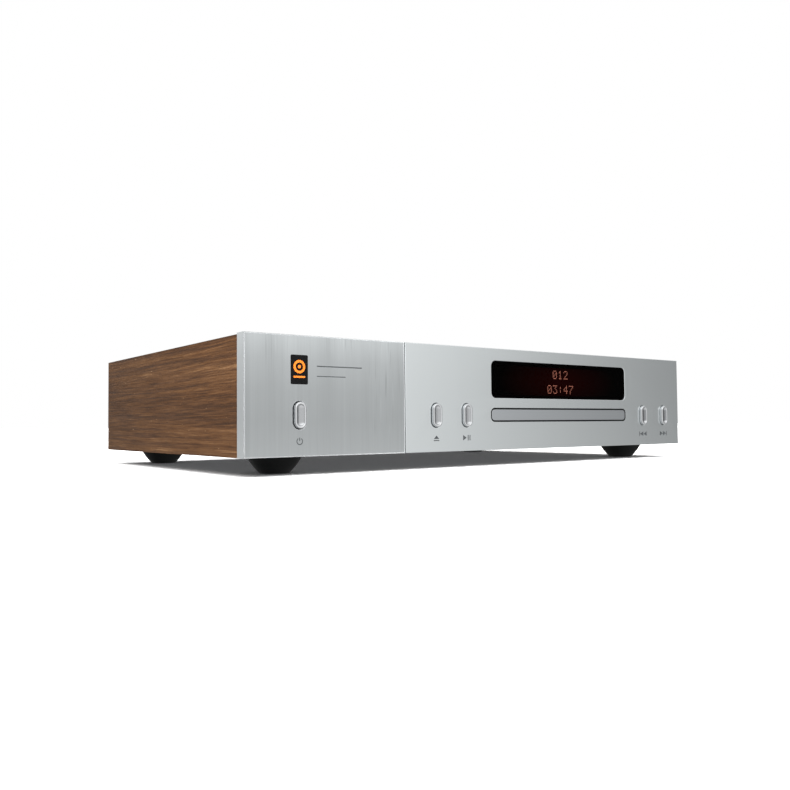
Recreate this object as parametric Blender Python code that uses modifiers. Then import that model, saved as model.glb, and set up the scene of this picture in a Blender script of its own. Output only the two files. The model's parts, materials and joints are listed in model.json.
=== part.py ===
"""A full-width compact disc player.

Two brushed aluminium front plates, a walnut cabinet on four feet, five push buttons, a dot-matrix
display behind a smoked window, and a motor-driven tray with its disc drive inside.

Every size is in millimetres until world() or a helper turns it into metres. Places are written
(x, depth, z): x from the front panel's left edge, depth from the front face towards the rear, and
z from the panel's lower edge, which stands one foot's height above the floor.
"""

import math

import bmesh
import bpy
from mathutils import Vector

MM = 0.001
GAP = 0.3

# Cabinet
PANEL_W = 449.0
PANEL_H = 78.5
PANEL_T = 10.4
PANEL_CHAMFER = 0.5
BODY_DEPTH = 278.0
FOOT_H = 12.1
SEAM_X = 124.4
SEAM_CHAMFER_GAP = 0.25
WOOD_T = 6.0
WOOD_INSET = 0.8
WOOD_TOP = PANEL_H - 0.7
MITRE_GAP = 0.1
SHEET = 1.2
SUBFRAME_T = 1.5
BOARD_T = 1.6

# Feet
FOOT_R_TOP = 19.0
FOOT_R_BOTTOM = 10.0
FOOT_FROM_SIDE = 40.0
FOOT_DEPTHS = {"front": 36.5, "rear": 246.0}
FOOT_EDGE_R = 1.5
FOOT_RIM_H = 0.8
FOOT_COUNTERBORE_R = 4.6
FOOT_COUNTERBORE_H = 6.0
FOOT_SCREW_R = 1.5
FOOT_SCREW_HEAD = (3.4, 5.6)
FOOT_SCREW_REACH = 4.0

# Push buttons: the slot, the cap in it and how far it travels
BUTTON_W = 8.6
BUTTON_H = 17.2
BUTTON_Z = 26.7
BUTTON_PROUD = 2.2
BUTTON_SIDE_GAP = 0.35
BUTTON_FLANGE = 1.8
BUTTON_DISH_R = 5.0
BUTTON_DISH_DEPTH = 1.1
BUTTON_TRAVEL = 1.2
POWER_BUTTON = {"power_button": 39.0}
LEFT_BUTTONS = {"eject_button": 152.5, "play_pause_button": 182.0}
RIGHT_BUTTONS = {"skip_back_button": 395.0, "skip_forward_button": 425.5}
BUTTONS = {**POWER_BUTTON, **LEFT_BUTTONS, **RIGHT_BUTTONS}

# Stems of the buttons and the switches they press
STEM_R = 2.5
STEM_END = PANEL_T + GAP + BUTTON_TRAVEL + 3.0
SWITCH_PLUNGER = 1.2
SWITCH_PLUNGER_R = 1.7
SWITCH_BODY = 3.5
SWITCH_HALF_W = 3.0
SWITCH_BOARD_FRONT = STEM_END + BUTTON_TRAVEL + GAP + SWITCH_PLUNGER + SWITCH_BODY
SWITCH_BOARD_HALF_H = 9.0
SWITCH_BOARD_MARGIN = 6.0
BOARD_POST_R = 2.2
SUNK = 0.4

# Display window and badge
WINDOW_X = (207.9, 369.8)
WINDOW_Z = (40.1, 68.9)
WINDOW_R = 4.4
WINDOW_GLASS = 2.0
WINDOW_SKIRT = 2.0
WINDOW_FLANGE = 1.5
BADGE_X = (32.4, 45.4)
BADGE_Z = (46.4, 65.75)
BADGE_R = 1.0
BADGE_POCKET = 0.8
BADGE_GAP = 0.15
BADGE_PROUD = 0.1
MODULE_MARGIN = (5.0, 3.0)
DISPLAY_BOARD_MARGIN = (2.0, 1.0)
DISPLAY_BOARD_FRONT = PANEL_T + GAP + SUBFRAME_T + 0.8

# Tray opening in the panel, and the tray
SLOT_X = (207.25, 370.0)
SLOT_Z = (22.0, 31.9)
SLOT_R = 3.5
BEZEL_GAP = 0.65
BEZEL_T = 8.5
TRAY_X = 288.6
TRAY_HALF_W = 74.0
TRAY_FRONT = BEZEL_T + GAP
TRAY_REAR = 192.0
TRAY_BOTTOM = 25.2
TRAY_TOP = 31.2
TRAY_SLOT_HALF_W = 22.0
SPINDLE_DEPTH = 78.0
DISC_R = 60.0
SMALL_DISC_R = 40.0
DISC_SEAT_Z = 28.9
SMALL_DISC_SEAT_Z = 27.7
DISC_MARGIN = 0.5

# Disc hub under the tray and the clamp above it
HUB_R = 7.4
HUB_TIP_R = 5.5
HUB_SEAT_R = 15.0
HUB_NECK_R = 5.0
SPINDLE_R = 1.0
SPINDLE_MOTOR_R = 13.0
SPINDLE_MOTOR_H = 4.5
CLAMP_R = 17.0
CLAMP_HOLLOW_R = 8.5
CLAMP_NECK_R = 11.5
CLAMP_COLLAR_R = 15.0
CLAMP_HOLE_R = 12.3

# Tray rack and its gears: one module throughout
MODULE = 1.0
PRESSURE = math.radians(25.0)
ADDENDUM = 0.9
DEDENDUM = 1.2
BACKLASH = 0.14
GEAR_TEETH = 30
PINION_TEETH = 12
RACK_X = 224.0
RACK_START = 20.8
RACK_TEETH = 52
RACK_BACK = 2.5
RACK_BOTTOM = 22.5
GEAR_DEPTH = 32.0
GEAR_R = MODULE * GEAR_TEETH / 2
PINION_R = MODULE * PINION_TEETH / 2
GEAR_X = RACK_X + GEAR_R
PULLEY_X = GEAR_X + GEAR_R + PINION_R
MOTOR_X = PULLEY_X + 40.0
PULLEY_GROOVE_R = 12.2
MOTOR_GROOVE_R = 3.2
BELT_Z = 18.0
BELT_SIZE = 1.4
GROOVE_HALF_H = 1.1
PULLEY_HALF_H = 2.4
PULLEY_RIM = 1.8
MOTOR_PULLEY_RIM = 1.9
LOADING_MOTOR_R = 10.5
POST_R = 1.3
POST_SHOULDER_R = 3.0
GEAR_BORE_R = 1.6
GEAR_BOTTOM = 20.8

# Loader frame, clamp and traverse
FRAME_DEPTH = (15.0, 205.0)
FRAME_BASE_Z = (4.0, 6.0)
FRAME_TOP = 37.0
FRAME_WALL = 3.5
FRAME_SIDE_GAP = 0.4
FRAME_LEDGE = 5.0
FRAME_LEDGE_T = 1.9
FRAME_LIP = 2.8
FRAME_LIP_T = 1.4
CLAMP_DEPTH = (60.0, 96.0)
TRAVERSE_Z = (18.0, 19.5)
TRAVERSE_X = (252.2, 325.0)
TRAVERSE_DEPTH = (60.0, 182.0)
TRAVERSE_WINDOW = ((266.0, 311.2), (92.7, 147.0))
TRAVERSE_NOTCH_DEPTH = (151.0, 171.5)
PIVOT_DEPTH = 178.0
PIVOT_Z = 18.75
PIVOT_R = 2.0
PIVOT_REACH = 4.0
EAR_HALF_W = 4.5
ROD_OFFSET = 20.0
ROD_Z = 22.0
ROD_R = 1.5
ROD_BORE_R = 1.8
ROD_HOLDER_DEPTHS = (85.6, 150.0)
ROD_HOLDER_T = 4.0
ROD_REACH = (86.5, 153.5)
LEAD_X = TRAY_X + 28.0
LEAD_Z = 15.0
LEAD_HOLDER = (88.0, 91.0)
LEAD_REACH = (88.3, 152.7)
SLED_DEPTH = 102.0
SLED_HALF_W = 23.0
SLED_HALF_DEPTH = 12.0
SLED_MOTOR_R = 6.0
SLED_MOTOR_REACH = (153.0, 170.0)

# Rear connectors
REAR_DEPTH = 274.0
JACK_Z = 42.0
JACK_REACH = 284.0
LINE_OUT_X = {"line_out_jack_left": 392.0, "line_out_jack_right": 368.0}
DIGITAL_OUT_X = 322.0
OPTICAL_X = (288.0, 302.0)
OPTICAL_Z = (35.5, 48.5)
INLET_X = (40.0, 68.0)
INLET_Z = (31.0, 51.0)
SOCKET_PROUD = 3.0
JACK_HOLE_R = 5.6
JACK_FLANGE_R = 5.2
JACK_BARREL_R = 4.15
JACK_BORE_R = 3.2
VENTS = 12
VENT_START = 112.0
VENT_PITCH = 8.0
VENT_W = 3.0
VENT_Z = (26.0, 54.0)

# Chassis and the parts on it
CHASSIS_X = (WOOD_INSET + WOOD_T + 0.5, PANEL_W - WOOD_INSET - WOOD_T - 0.5)
CHASSIS_DEPTH = (PANEL_T + GAP + SUBFRAME_T + 0.8, REAR_DEPTH - GAP)
CHASSIS_RIM = 14.0
MAIN_BOARD = ((222.0, 432.0), (212.0, 268.0))
POWER_BOARD = ((112.0, 196.0), (150.0, 262.0))
BOARD_Z = (8.0, 8.0 + BOARD_T)
STANDOFF_R = 3.0
STANDOFF_INSET = 5.0
FRAME_STANDOFF_R = 4.0
FRAME_STANDOFF_INSET = 8.0
FILTER_CAPACITORS = {"filter_capacitor_1": 130.0, "filter_capacitor_2": 156.0}
FILTER_DEPTH = 172.0
FILTER_R = 11.0
FILTER_H = 32.0
FIN_PITCH = 6.0
FINS = 6
HEAT_SINK_H = 26.0
TRANSFORMER_AT = (62.0, 190.0, 0.0)
TRANSFORMER_R = (13.0, 42.0)
TRANSFORMER_Z = (2.1, 36.1)
TRANSFORMER_EDGE = 6.0
CABLE_X = (346.0, 364.0)
CABLE_T = 0.8

FRONT_Y = BUTTON_PROUD - (BUTTON_PROUD + JACK_REACH) / 2
TURNS = {"x": (0.0, math.pi / 2, 0.0), "y": (math.pi / 2, 0.0, 0.0), "z": (0.0, 0.0, 0.0)}
PLATE_TURNS = {"x": (math.pi / 2, 0.0, math.pi / 2), "y": TURNS["y"], "z": TURNS["z"]}


def world(x, depth, z):
    """A place on the player, in mm, as a world point in metres."""
    return Vector((x - PANEL_W / 2, FRONT_Y + depth, z + FOOT_H)) * MM


# ---------------------------------------------------------------- scene, materials and objects


def clear_scene():
    for obj in list(bpy.data.objects):
        bpy.data.objects.remove(obj)


def collection(name):
    found = bpy.data.collections.get(name)
    if found is None:
        found = bpy.data.collections.new(name)
        bpy.context.scene.collection.children.link(found)
    return found


def material(name, colour, roughness, metallic=0.0):
    made = bpy.data.materials.new(name)
    made.use_nodes = True
    shader = made.node_tree.nodes["Principled BSDF"]
    shader.inputs["Base Color"].default_value = (*colour, 1.0)
    shader.inputs["Roughness"].default_value = roughness
    shader.inputs["Metallic"].default_value = metallic
    made.diffuse_color = (*colour, 1.0)
    return made


def link(name, data, paint, at, turn=(0.0, 0.0, 0.0)):
    obj = bpy.data.objects.new(name, data)
    obj.location = world(*at)
    obj.rotation_euler = turn
    if paint is not None:
        data.materials.append(paint)
    collection("cd_player").objects.link(obj)
    return obj


def shade_round(obj, angle=math.radians(35.0)):
    obj.data.shade_smooth()
    obj.data.set_sharp_from_angle(angle=angle)


def helper(obj):
    """Takes an object out of the model, to serve as a cutter or as an added shape."""
    collection("cd_player").objects.unlink(obj)
    collection("cutters").objects.link(obj)
    obj.hide_render = True
    obj.display_type = "WIRE"
    return obj


def boolean(obj, other, operation):
    modifier = obj.modifiers.new(other.name, "BOOLEAN")
    modifier.operation = operation
    modifier.solver = "EXACT"
    modifier.object = helper(other)


def cut(obj, other):
    boolean(obj, other, "DIFFERENCE")


def add(obj, other):
    boolean(obj, other, "UNION")


# ---------------------------------------------------------------- outlines


def arc(centre, radius, start, end, steps):
    angles = [start + (end - start) * step / steps for step in range(steps + 1)]
    return [(centre[0] + radius * math.cos(a), centre[1] + radius * math.sin(a)) for a in angles]


def circle(centre, radius, steps=24):
    return arc(centre, radius, 0.0, 2 * math.pi, steps)[:-1]


def rectangle(u, v, radius=0.0, steps=4):
    """A rectangle between two limits along each axis, its corners rounded."""
    if radius <= 0:
        return [(u[0], v[0]), (u[1], v[0]), (u[1], v[1]), (u[0], v[1])]
    corners = ((1, 0, -0.5), (1, 1, 0.0), (0, 1, 0.5), (0, 0, 1.0))
    points = []
    for at_u, at_v, turn in corners:
        centre = (
            u[at_u] + (radius if at_u == 0 else -radius),
            v[at_v] + (radius if at_v == 0 else -radius),
        )
        points += arc(centre, radius, turn * math.pi, (turn + 0.5) * math.pi, steps)
    unique = [points[0]]
    for point in points[1:]:
        if math.dist(point, unique[-1]) > 1e-6 and math.dist(point, points[0]) > 1e-6:
            unique.append(point)
    return unique


def button_outline(x, grow, steps=5):
    """A button's upright, round-ended outline, larger all round by grow."""
    half_w = BUTTON_W / 2 + grow
    half_h = BUTTON_H / 2 + grow
    z = (BUTTON_Z - half_h, BUTTON_Z + half_h)
    return rectangle((x - half_w, x + half_w), z, half_w, steps)


def involute(angle):
    return math.tan(angle) - angle


def gear_outline(teeth, centre, first_tooth):
    """An involute gear: first_tooth is the direction of the middle of one tooth."""
    pitch_r = MODULE * teeth / 2
    base_r = pitch_r * math.cos(PRESSURE)
    root_r = pitch_r - DEDENDUM * MODULE
    tip_r = pitch_r + ADDENDUM * MODULE
    half_at_pitch = (math.pi * MODULE / 2 - BACKLASH) / (2 * pitch_r)
    flank = []
    for radius in (root_r, max(base_r, pitch_r - 0.3 * MODULE), tip_r):
        on_flank = max(radius, base_r)
        half = half_at_pitch + involute(PRESSURE) - involute(math.acos(base_r / on_flank))
        flank.append((radius, half))
    points = []
    for tooth in range(teeth):
        middle = first_tooth + 2 * math.pi * tooth / teeth
        side = [(radius, middle - half) for radius, half in flank]
        side += [(radius, middle + half) for radius, half in reversed(flank)]
        points += [
            (centre[0] + radius * math.cos(a), centre[1] + radius * math.sin(a)) for radius, a in side
        ]
    return points


def rack_outline():
    """The tray's rack: teeth towards +x on a straight strip, one tooth level with the gear's axis."""
    pitch = math.pi * MODULE
    phase = (GEAR_DEPTH - RACK_START) % pitch
    root = RACK_X - DEDENDUM * MODULE
    tip = RACK_X + ADDENDUM * MODULE
    half_root = (pitch / 2 - BACKLASH) / 2 + DEDENDUM * MODULE * math.tan(PRESSURE)
    half_tip = (pitch / 2 - BACKLASH) / 2 - ADDENDUM * MODULE * math.tan(PRESSURE)
    points = []
    for tooth in range(RACK_TEETH):
        middle = RACK_START + phase + tooth * pitch
        points += [(root, middle - half_root), (tip, middle - half_tip)]
        points += [(tip, middle + half_tip), (root, middle + half_root)]
    back = root - RACK_BACK
    return [(back, points[0][1] - 0.5), *points, (back, points[-1][1] + 0.5)]


# ---------------------------------------------------------------- solids


def box(name, paint, x, depth, z):
    """A block between two limits along each axis."""
    mesh = bpy.data.meshes.new(name)
    made = bmesh.new()
    bmesh.ops.create_cube(made, size=1.0)
    size = Vector((x[1] - x[0], depth[1] - depth[0], z[1] - z[0])) * MM
    bmesh.ops.scale(made, vec=size, verts=made.verts)
    made.to_mesh(mesh)
    made.free()
    return link(name, mesh, paint, (sum(x) / 2, sum(depth) / 2, sum(z) / 2))


def plate(name, paint, facing, outlines, between, chamfer=0.0, origin=None):
    """A flat sheet square to one axis. The first outline is its edge, any others are holes."""
    us = [u for u, _ in outlines[0]]
    vs = [v for _, v in outlines[0]]
    centre = origin or ((min(us) + max(us)) / 2, (min(vs) + max(vs)) / 2)
    thickness = between[1] - between[0]
    curve = bpy.data.curves.new(name, "CURVE")
    curve.dimensions = "2D"
    curve.fill_mode = "BOTH"
    curve.extrude = (thickness / 2 - chamfer) * MM
    curve.bevel_depth = chamfer * MM
    curve.bevel_resolution = 0
    curve.offset = -chamfer * MM
    for outline in outlines:
        spline = curve.splines.new("POLY")
        spline.points.add(len(outline) - 1)
        for point, (u, v) in zip(spline.points, outline):
            point.co = ((u - centre[0]) * MM, (v - centre[1]) * MM, 0.0, 1.0)
        spline.use_cyclic_u = True
    mesh = mesh_of(name, curve)
    middle = sum(between) / 2
    places = {"x": (middle, *centre), "y": (centre[0], middle, centre[1]), "z": (*centre, middle)}
    return link(name, mesh, paint, places[facing], PLATE_TURNS[facing])


def mesh_of(name, curve):
    """A curve's solid as a closed mesh."""
    guide = bpy.data.objects.new(name + "_guide", curve)
    bpy.context.scene.collection.objects.link(guide)
    graph = bpy.context.evaluated_depsgraph_get()
    mesh = bpy.data.meshes.new_from_object(guide.evaluated_get(graph))
    mesh.name = name
    bpy.data.objects.remove(guide)
    bpy.data.curves.remove(curve)
    made = bmesh.new()
    made.from_mesh(mesh)
    bmesh.ops.remove_doubles(made, verts=made.verts, dist=1e-6)
    bmesh.ops.dissolve_limit(made, angle_limit=1e-3, verts=made.verts, edges=made.edges)
    bmesh.ops.recalc_face_normals(made, faces=made.faces)
    made.to_mesh(mesh)
    made.free()
    mesh.materials.clear()
    return mesh


def turned(name, paint, at, profile, axis="z", steps=24):
    """A turned solid. The profile lists (radius, height) from the top down; heights are from `at`."""
    mesh = bpy.data.meshes.new(name)
    points = [(radius * MM, 0.0, height * MM) for radius, height in profile]
    edges = [(i, i + 1) for i in range(len(points) - 1)]
    if profile[0][0] > 0:
        edges.append((len(points) - 1, 0))
    mesh.from_pydata(points, edges, [])
    obj = link(name, mesh, paint, at, TURNS[axis])
    screw = obj.modifiers.new("Turn", "SCREW")
    screw.axis = "Z"
    screw.steps = steps
    screw.render_steps = steps
    screw.use_merge_vertices = True
    screw.merge_threshold = 1e-6
    screw.use_smooth_shade = True
    return obj


def rods(name, paint, places, radius, between, axis="z", steps=12):
    """Equal cylinders along one axis, each at its (x, depth, z); between gives their two ends."""
    mesh = bpy.data.meshes.new(name)
    made = bmesh.new()
    index = "xyz".index(axis)
    first = world(*places[0])
    for place in places:
        centre = list(place)
        centre[index] = sum(between) / 2
        new = bmesh.ops.create_cone(
            made,
            cap_ends=True,
            segments=steps,
            radius1=radius * MM,
            radius2=radius * MM,
            depth=(between[1] - between[0]) * MM,
        )["verts"]
        if axis != "z":
            turn = Vector((0, 0, 1)).rotation_difference(Vector([axis == a for a in "xyz"]))
            bmesh.ops.rotate(made, verts=new, cent=(0, 0, 0), matrix=turn.to_matrix())
        bmesh.ops.translate(made, verts=new, vec=world(*centre) - first)
    made.to_mesh(mesh)
    made.free()
    return link(name, mesh, paint, places[0])


def blocks(name, limits):
    """Several separate blocks as one added shape: each is (x, depth, z) limits."""
    mesh = bpy.data.meshes.new(name)
    made = bmesh.new()
    for x, depth, z in limits:
        new = bmesh.ops.create_cube(made, size=1.0)["verts"]
        size = Vector((x[1] - x[0], depth[1] - depth[0], z[1] - z[0])) * MM
        bmesh.ops.scale(made, vec=size, verts=new)
        middle = world(sum(x) / 2, sum(depth) / 2, sum(z) / 2)
        bmesh.ops.translate(made, verts=new, vec=middle - world(0, 0, 0))
    made.to_mesh(mesh)
    made.free()
    return link(name, mesh, None, (0.0, 0.0, 0.0))


def strip_outline(path, thickness):
    """The edge-on outline of a flat strip that follows a path."""
    upper, lower = [], []
    for i, (u, v) in enumerate(path):
        before = Vector(path[max(i - 1, 0)])
        after = Vector(path[min(i + 1, len(path) - 1)])
        along = (after - before).normalized() * (thickness / 2)
        upper.append((u - along.y, v + along.x))
        lower.append((u + along.y, v - along.x))
    return upper + lower[::-1]


# ---------------------------------------------------------------- front


def front_plates(aluminium):
    """Two plates that meet at a narrow chamfered groove."""
    z = (0.0, PANEL_H)
    half_gap = SEAM_CHAMFER_GAP / 2
    slots = {name: button_outline(x, BUTTON_SIDE_GAP) for name, x in BUTTONS.items()}
    left = plate(
        "front_panel_left",
        aluminium,
        "y",
        [rectangle((0.0, SEAM_X - half_gap), z), slots["power_button"]],
        (0.0, PANEL_T),
        PANEL_CHAMFER,
    )
    pocket = rectangle(BADGE_X, BADGE_Z, BADGE_R, 2)
    cut(left, plate("badge_pocket", None, "y", [pocket], (-1.0, BADGE_POCKET)))
    holes = [slots[name] for name in BUTTONS if name != "power_button"]
    holes.append(rectangle(WINDOW_X, WINDOW_Z, WINDOW_R, 5))
    holes.append(rectangle(SLOT_X, SLOT_Z, SLOT_R, 5))
    outer = rectangle((SEAM_X + half_gap, PANEL_W), z)
    plate("front_panel_right", aluminium, "y", [outer, *holes], (0.0, PANEL_T), PANEL_CHAMFER)


def badge(paint):
    """The small plate let into the left front plate."""
    x = (BADGE_X[0] + BADGE_GAP, BADGE_X[1] - BADGE_GAP)
    z = (BADGE_Z[0] + BADGE_GAP, BADGE_Z[1] - BADGE_GAP)
    depth = (-BADGE_PROUD, BADGE_POCKET - BADGE_PROUD)
    plate("badge_plate", paint, "y", [rectangle(x, z, BADGE_R - BADGE_GAP, 2)], depth)


def board_posts():
    """Where the subframe's posts for the three switch boards stand."""
    spread = BUTTON_W / 2 + BUTTON_FLANGE + 3.0
    places = []
    for group in (POWER_BUTTON, LEFT_BUTTONS, RIGHT_BUTTONS):
        xs = sorted(group.values())
        places += [xs[0] - spread, xs[-1] + spread]
        if len(xs) > 1:
            places.append(sum(xs) / len(xs))
    return [(x, 0.0, BUTTON_Z) for x in places]


def subframe(steel):
    """The inner frame that joins both plates and carries the switch boards."""
    front = PANEL_T + GAP
    back = front + SUBFRAME_T
    reach = WINDOW_FLANGE + GAP
    window_x = (WINDOW_X[0] - reach, WINDOW_X[1] + reach)
    window_z = (WINDOW_Z[0] - reach, WINDOW_Z[1] + reach)
    slot_x = (SLOT_X[0] - 0.6, SLOT_X[1] + 0.6)
    slot_z = (SLOT_Z[0] - 0.5, SLOT_Z[1] + 0.5)
    outer = rectangle(CHASSIS_X, (GAP, WOOD_TOP - WOOD_T - GAP))
    outlines = [outer, rectangle(window_x, window_z), rectangle(slot_x, slot_z)]
    frame = plate("front_subframe", steel, "y", outlines, (front, back))
    for name, x in BUTTONS.items():
        opening = [button_outline(x, BUTTON_FLANGE + GAP, 3)]
        cut(frame, plate(name + "_opening", None, "y", opening, (front - 1.0, back + 1.0)))
    reach = (front + SUBFRAME_T / 2, SWITCH_BOARD_FRONT - GAP)
    posts = rods("board_posts", None, board_posts(), BOARD_POST_R, reach, "y", 10)
    add(frame, posts)


def button(name, x, paint):
    """A round-ended cap with a long dished face, a retaining flange and a stem to its switch."""
    cap = plate(name, paint, "y", [button_outline(x, 0.0, 5)], (-BUTTON_PROUD, PANEL_T + GAP + 0.4), 0.45)
    centre = -BUTTON_PROUD - BUTTON_DISH_R + BUTTON_DISH_DEPTH
    half = BUTTON_H / 2 - BUTTON_W / 2 + 0.6
    profile = [
        (BUTTON_DISH_R * math.cos(a), half + BUTTON_DISH_R * math.sin(a))
        for a in (math.pi * step / 10 for step in range(5, -1, -1))
    ]
    profile += [(radius, -height) for radius, height in reversed(profile)]
    profile[0] = (0.0, profile[0][1])
    profile[-1] = (0.0, profile[-1][1])
    cut(cap, turned(name + "_dish", None, (x, centre, BUTTON_Z), profile, steps=28))
    back = PANEL_T + GAP
    flange = plate(
        name + "_flange", None, "y", [button_outline(x, BUTTON_FLANGE, 3)], (back, back + BUTTON_TRAVEL)
    )
    add(cap, flange)
    stem = rods(name + "_stem", None, [(x, 0.0, BUTTON_Z)], STEM_R, (back + SUNK, STEM_END), "y", 8)
    add(cap, stem)
    shade_round(cap)


def switch_board(name, xs, paint):
    """A small circuit board with one push switch behind each button."""
    reach = BUTTON_W / 2 + BUTTON_FLANGE + SWITCH_BOARD_MARGIN
    back = SWITCH_BOARD_FRONT + BOARD_T
    board = box(
        name,
        paint,
        (min(xs) - reach, max(xs) + reach),
        (SWITCH_BOARD_FRONT, back),
        (BUTTON_Z - SWITCH_BOARD_HALF_H, BUTTON_Z + SWITCH_BOARD_HALF_H),
    )
    front = SWITCH_BOARD_FRONT - SWITCH_BODY
    body_depth = (front, SWITCH_BOARD_FRONT + SUNK)
    body_z = (BUTTON_Z - SWITCH_HALF_W, BUTTON_Z + SWITCH_HALF_W)
    bodies = [((x - SWITCH_HALF_W, x + SWITCH_HALF_W), body_depth, body_z) for x in xs]
    add(board, blocks(name + "_switches", bodies))
    places = [(x, 0.0, BUTTON_Z) for x in xs]
    reach = (front - SWITCH_PLUNGER, front + SUNK)
    add(board, rods(name + "_plungers", None, places, SWITCH_PLUNGER_R, reach, "y"))


def window(paint):
    """The smoked window: a thin face, a skirt through the panel and a flange behind it."""
    x = (WINDOW_X[0] + GAP, WINDOW_X[1] - GAP)
    z = (WINDOW_Z[0] + GAP, WINDOW_Z[1] - GAP)
    back = PANEL_T + GAP + SHEET
    face = plate("display_window", paint, "y", [rectangle(x, z, WINDOW_R - GAP, 5)], (0.1, back), 0.3)
    flange_x = (WINDOW_X[0] - WINDOW_FLANGE, WINDOW_X[1] + WINDOW_FLANGE)
    flange_z = (WINDOW_Z[0] - WINDOW_FLANGE, WINDOW_Z[1] + WINDOW_FLANGE)
    flange = plate("window_flange", None, "y", [rectangle(flange_x, flange_z)], (PANEL_T + GAP, back))
    add(face, flange)
    inner_x = (x[0] + WINDOW_SKIRT, x[1] - WINDOW_SKIRT)
    inner_z = (z[0] + WINDOW_SKIRT, z[1] - WINDOW_SKIRT)
    hollow = [rectangle(inner_x, inner_z, WINDOW_R - GAP - WINDOW_SKIRT, 3)]
    cut(face, plate("window_hollow", None, "y", hollow, (WINDOW_GLASS, back + 1.0)))


def display(module_paint, board_paint):
    """The dot-matrix module behind the window, on a board with its driver and cable socket."""
    side, above = MODULE_MARGIN
    x = (WINDOW_X[0] + side, WINDOW_X[1] - side)
    z = (WINDOW_Z[0] + above, WINDOW_Z[1] - above)
    box("display_module", module_paint, x, (WINDOW_GLASS + 0.8, DISPLAY_BOARD_FRONT - GAP), z)
    side, above = DISPLAY_BOARD_MARGIN
    x = (WINDOW_X[0] - side, WINDOW_X[1] + side)
    z = (WINDOW_Z[0] - above, WINDOW_Z[1] + above)
    back = DISPLAY_BOARD_FRONT + BOARD_T
    board = box("display_board", board_paint, x, (DISPLAY_BOARD_FRONT, back), z)
    socket = ((340.0, 364.0), (back - SUNK, back + 5.0), (58.0, 64.0))
    driver = ((270.0, 284.0), (back - SUNK, back + 2.4), (48.0, 62.0))
    add(board, blocks("display_board_parts", [socket, driver]))


# ---------------------------------------------------------------- cabinet


def foot(name, x, depth, paint, screw_paint):
    """A tapered foot with a rounded lower edge, counterbored for its screw."""
    shank_r = FOOT_SCREW_R + GAP
    slope = math.atan2(FOOT_H - FOOT_RIM_H, FOOT_R_TOP - FOOT_R_BOTTOM)
    edge_r = FOOT_R_BOTTOM - FOOT_EDGE_R * (1 - math.cos(slope)) / math.sin(slope)
    round_edge = arc((edge_r, FOOT_EDGE_R), FOOT_EDGE_R, slope - math.pi / 2, -math.pi / 2, 2)
    profile = [(shank_r, FOOT_H), (FOOT_R_TOP, FOOT_H), (FOOT_R_TOP, FOOT_H - FOOT_RIM_H), *round_edge]
    profile += [(FOOT_COUNTERBORE_R, 0.0), (FOOT_COUNTERBORE_R, FOOT_COUNTERBORE_H)]
    profile.append((shank_r, FOOT_COUNTERBORE_H))
    turned(name, paint, (x, depth, -FOOT_H), profile, steps=24)
    head = FOOT_COUNTERBORE_R - 0.8
    low, high = FOOT_SCREW_HEAD
    top = FOOT_H + FOOT_SCREW_REACH
    profile = [(0.0, top), (FOOT_SCREW_R, top), (FOOT_SCREW_R, high), (head, high), (head, low), (0.0, low)]
    turned(name.replace("foot", "foot_screw"), screw_paint, (x, depth, -FOOT_H), profile, steps=8)


def foot_places():
    return {
        f"foot_{row}_{side}": (x, depth)
        for row, depth in FOOT_DEPTHS.items()
        for side, x in (("left", FOOT_FROM_SIDE), ("right", PANEL_W - FOOT_FROM_SIDE))
    }


def corners(x, depth, inset):
    return [(u, v, 0.0) for u in (x[0] + inset, x[1] - inset) for v in (depth[0] + inset, depth[1] - inset)]


def chassis(steel):
    """The folded steel floor with its upturned rim and standoffs."""
    floor = box("bottom_chassis", steel, CHASSIS_X, CHASSIS_DEPTH, (GAP, CHASSIS_RIM))
    inner_x = (CHASSIS_X[0] + SHEET, CHASSIS_X[1] - SHEET)
    inner_depth = (CHASSIS_DEPTH[0] + SHEET, CHASSIS_DEPTH[1] - SHEET)
    cut(floor, box("chassis_hollow", None, inner_x, inner_depth, (GAP + SHEET, 2 * CHASSIS_RIM)))
    holes = [(x, depth, 0.0) for x, depth in foot_places().values()]
    cut(floor, rods("foot_screw_holes", None, holes, FOOT_SCREW_R + GAP, (-SHEET, 3 * SHEET)))
    places = corners(*MAIN_BOARD, STANDOFF_INSET) + corners(*POWER_BOARD, STANDOFF_INSET)
    reach = (SHEET, BOARD_Z[0] - GAP)
    add(floor, rods("board_standoffs", None, places, STANDOFF_R, reach, steps=8))
    frame_x = (TRAY_X - TRAY_HALF_W, TRAY_X + TRAY_HALF_W)
    places = corners(frame_x, FRAME_DEPTH, FRAME_STANDOFF_INSET)
    reach = (SHEET, FRAME_BASE_Z[0] - GAP)
    add(floor, rods("loader_standoffs", None, places, FRAME_STANDOFF_R, reach, steps=8))


def rear_panel(steel):
    """The rear sheet, with openings for each connector and a row of vents."""
    holes = [circle((x, JACK_Z), JACK_HOLE_R, 12) for x in (*LINE_OUT_X.values(), DIGITAL_OUT_X)]
    for x, z in ((OPTICAL_X, OPTICAL_Z), (INLET_X, INLET_Z)):
        holes.append(rectangle((x[0] - GAP, x[1] + GAP), (z[0] - GAP, z[1] + GAP)))
    for i in range(VENTS):
        x = VENT_START + i * VENT_PITCH
        holes.append(rectangle((x, x + VENT_W), VENT_Z))
    outer = rectangle(CHASSIS_X, (GAP, WOOD_TOP - WOOD_T - 0.5))
    plate("rear_panel", steel, "y", [outer, *holes], (REAR_DEPTH, REAR_DEPTH + SHEET))


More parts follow.
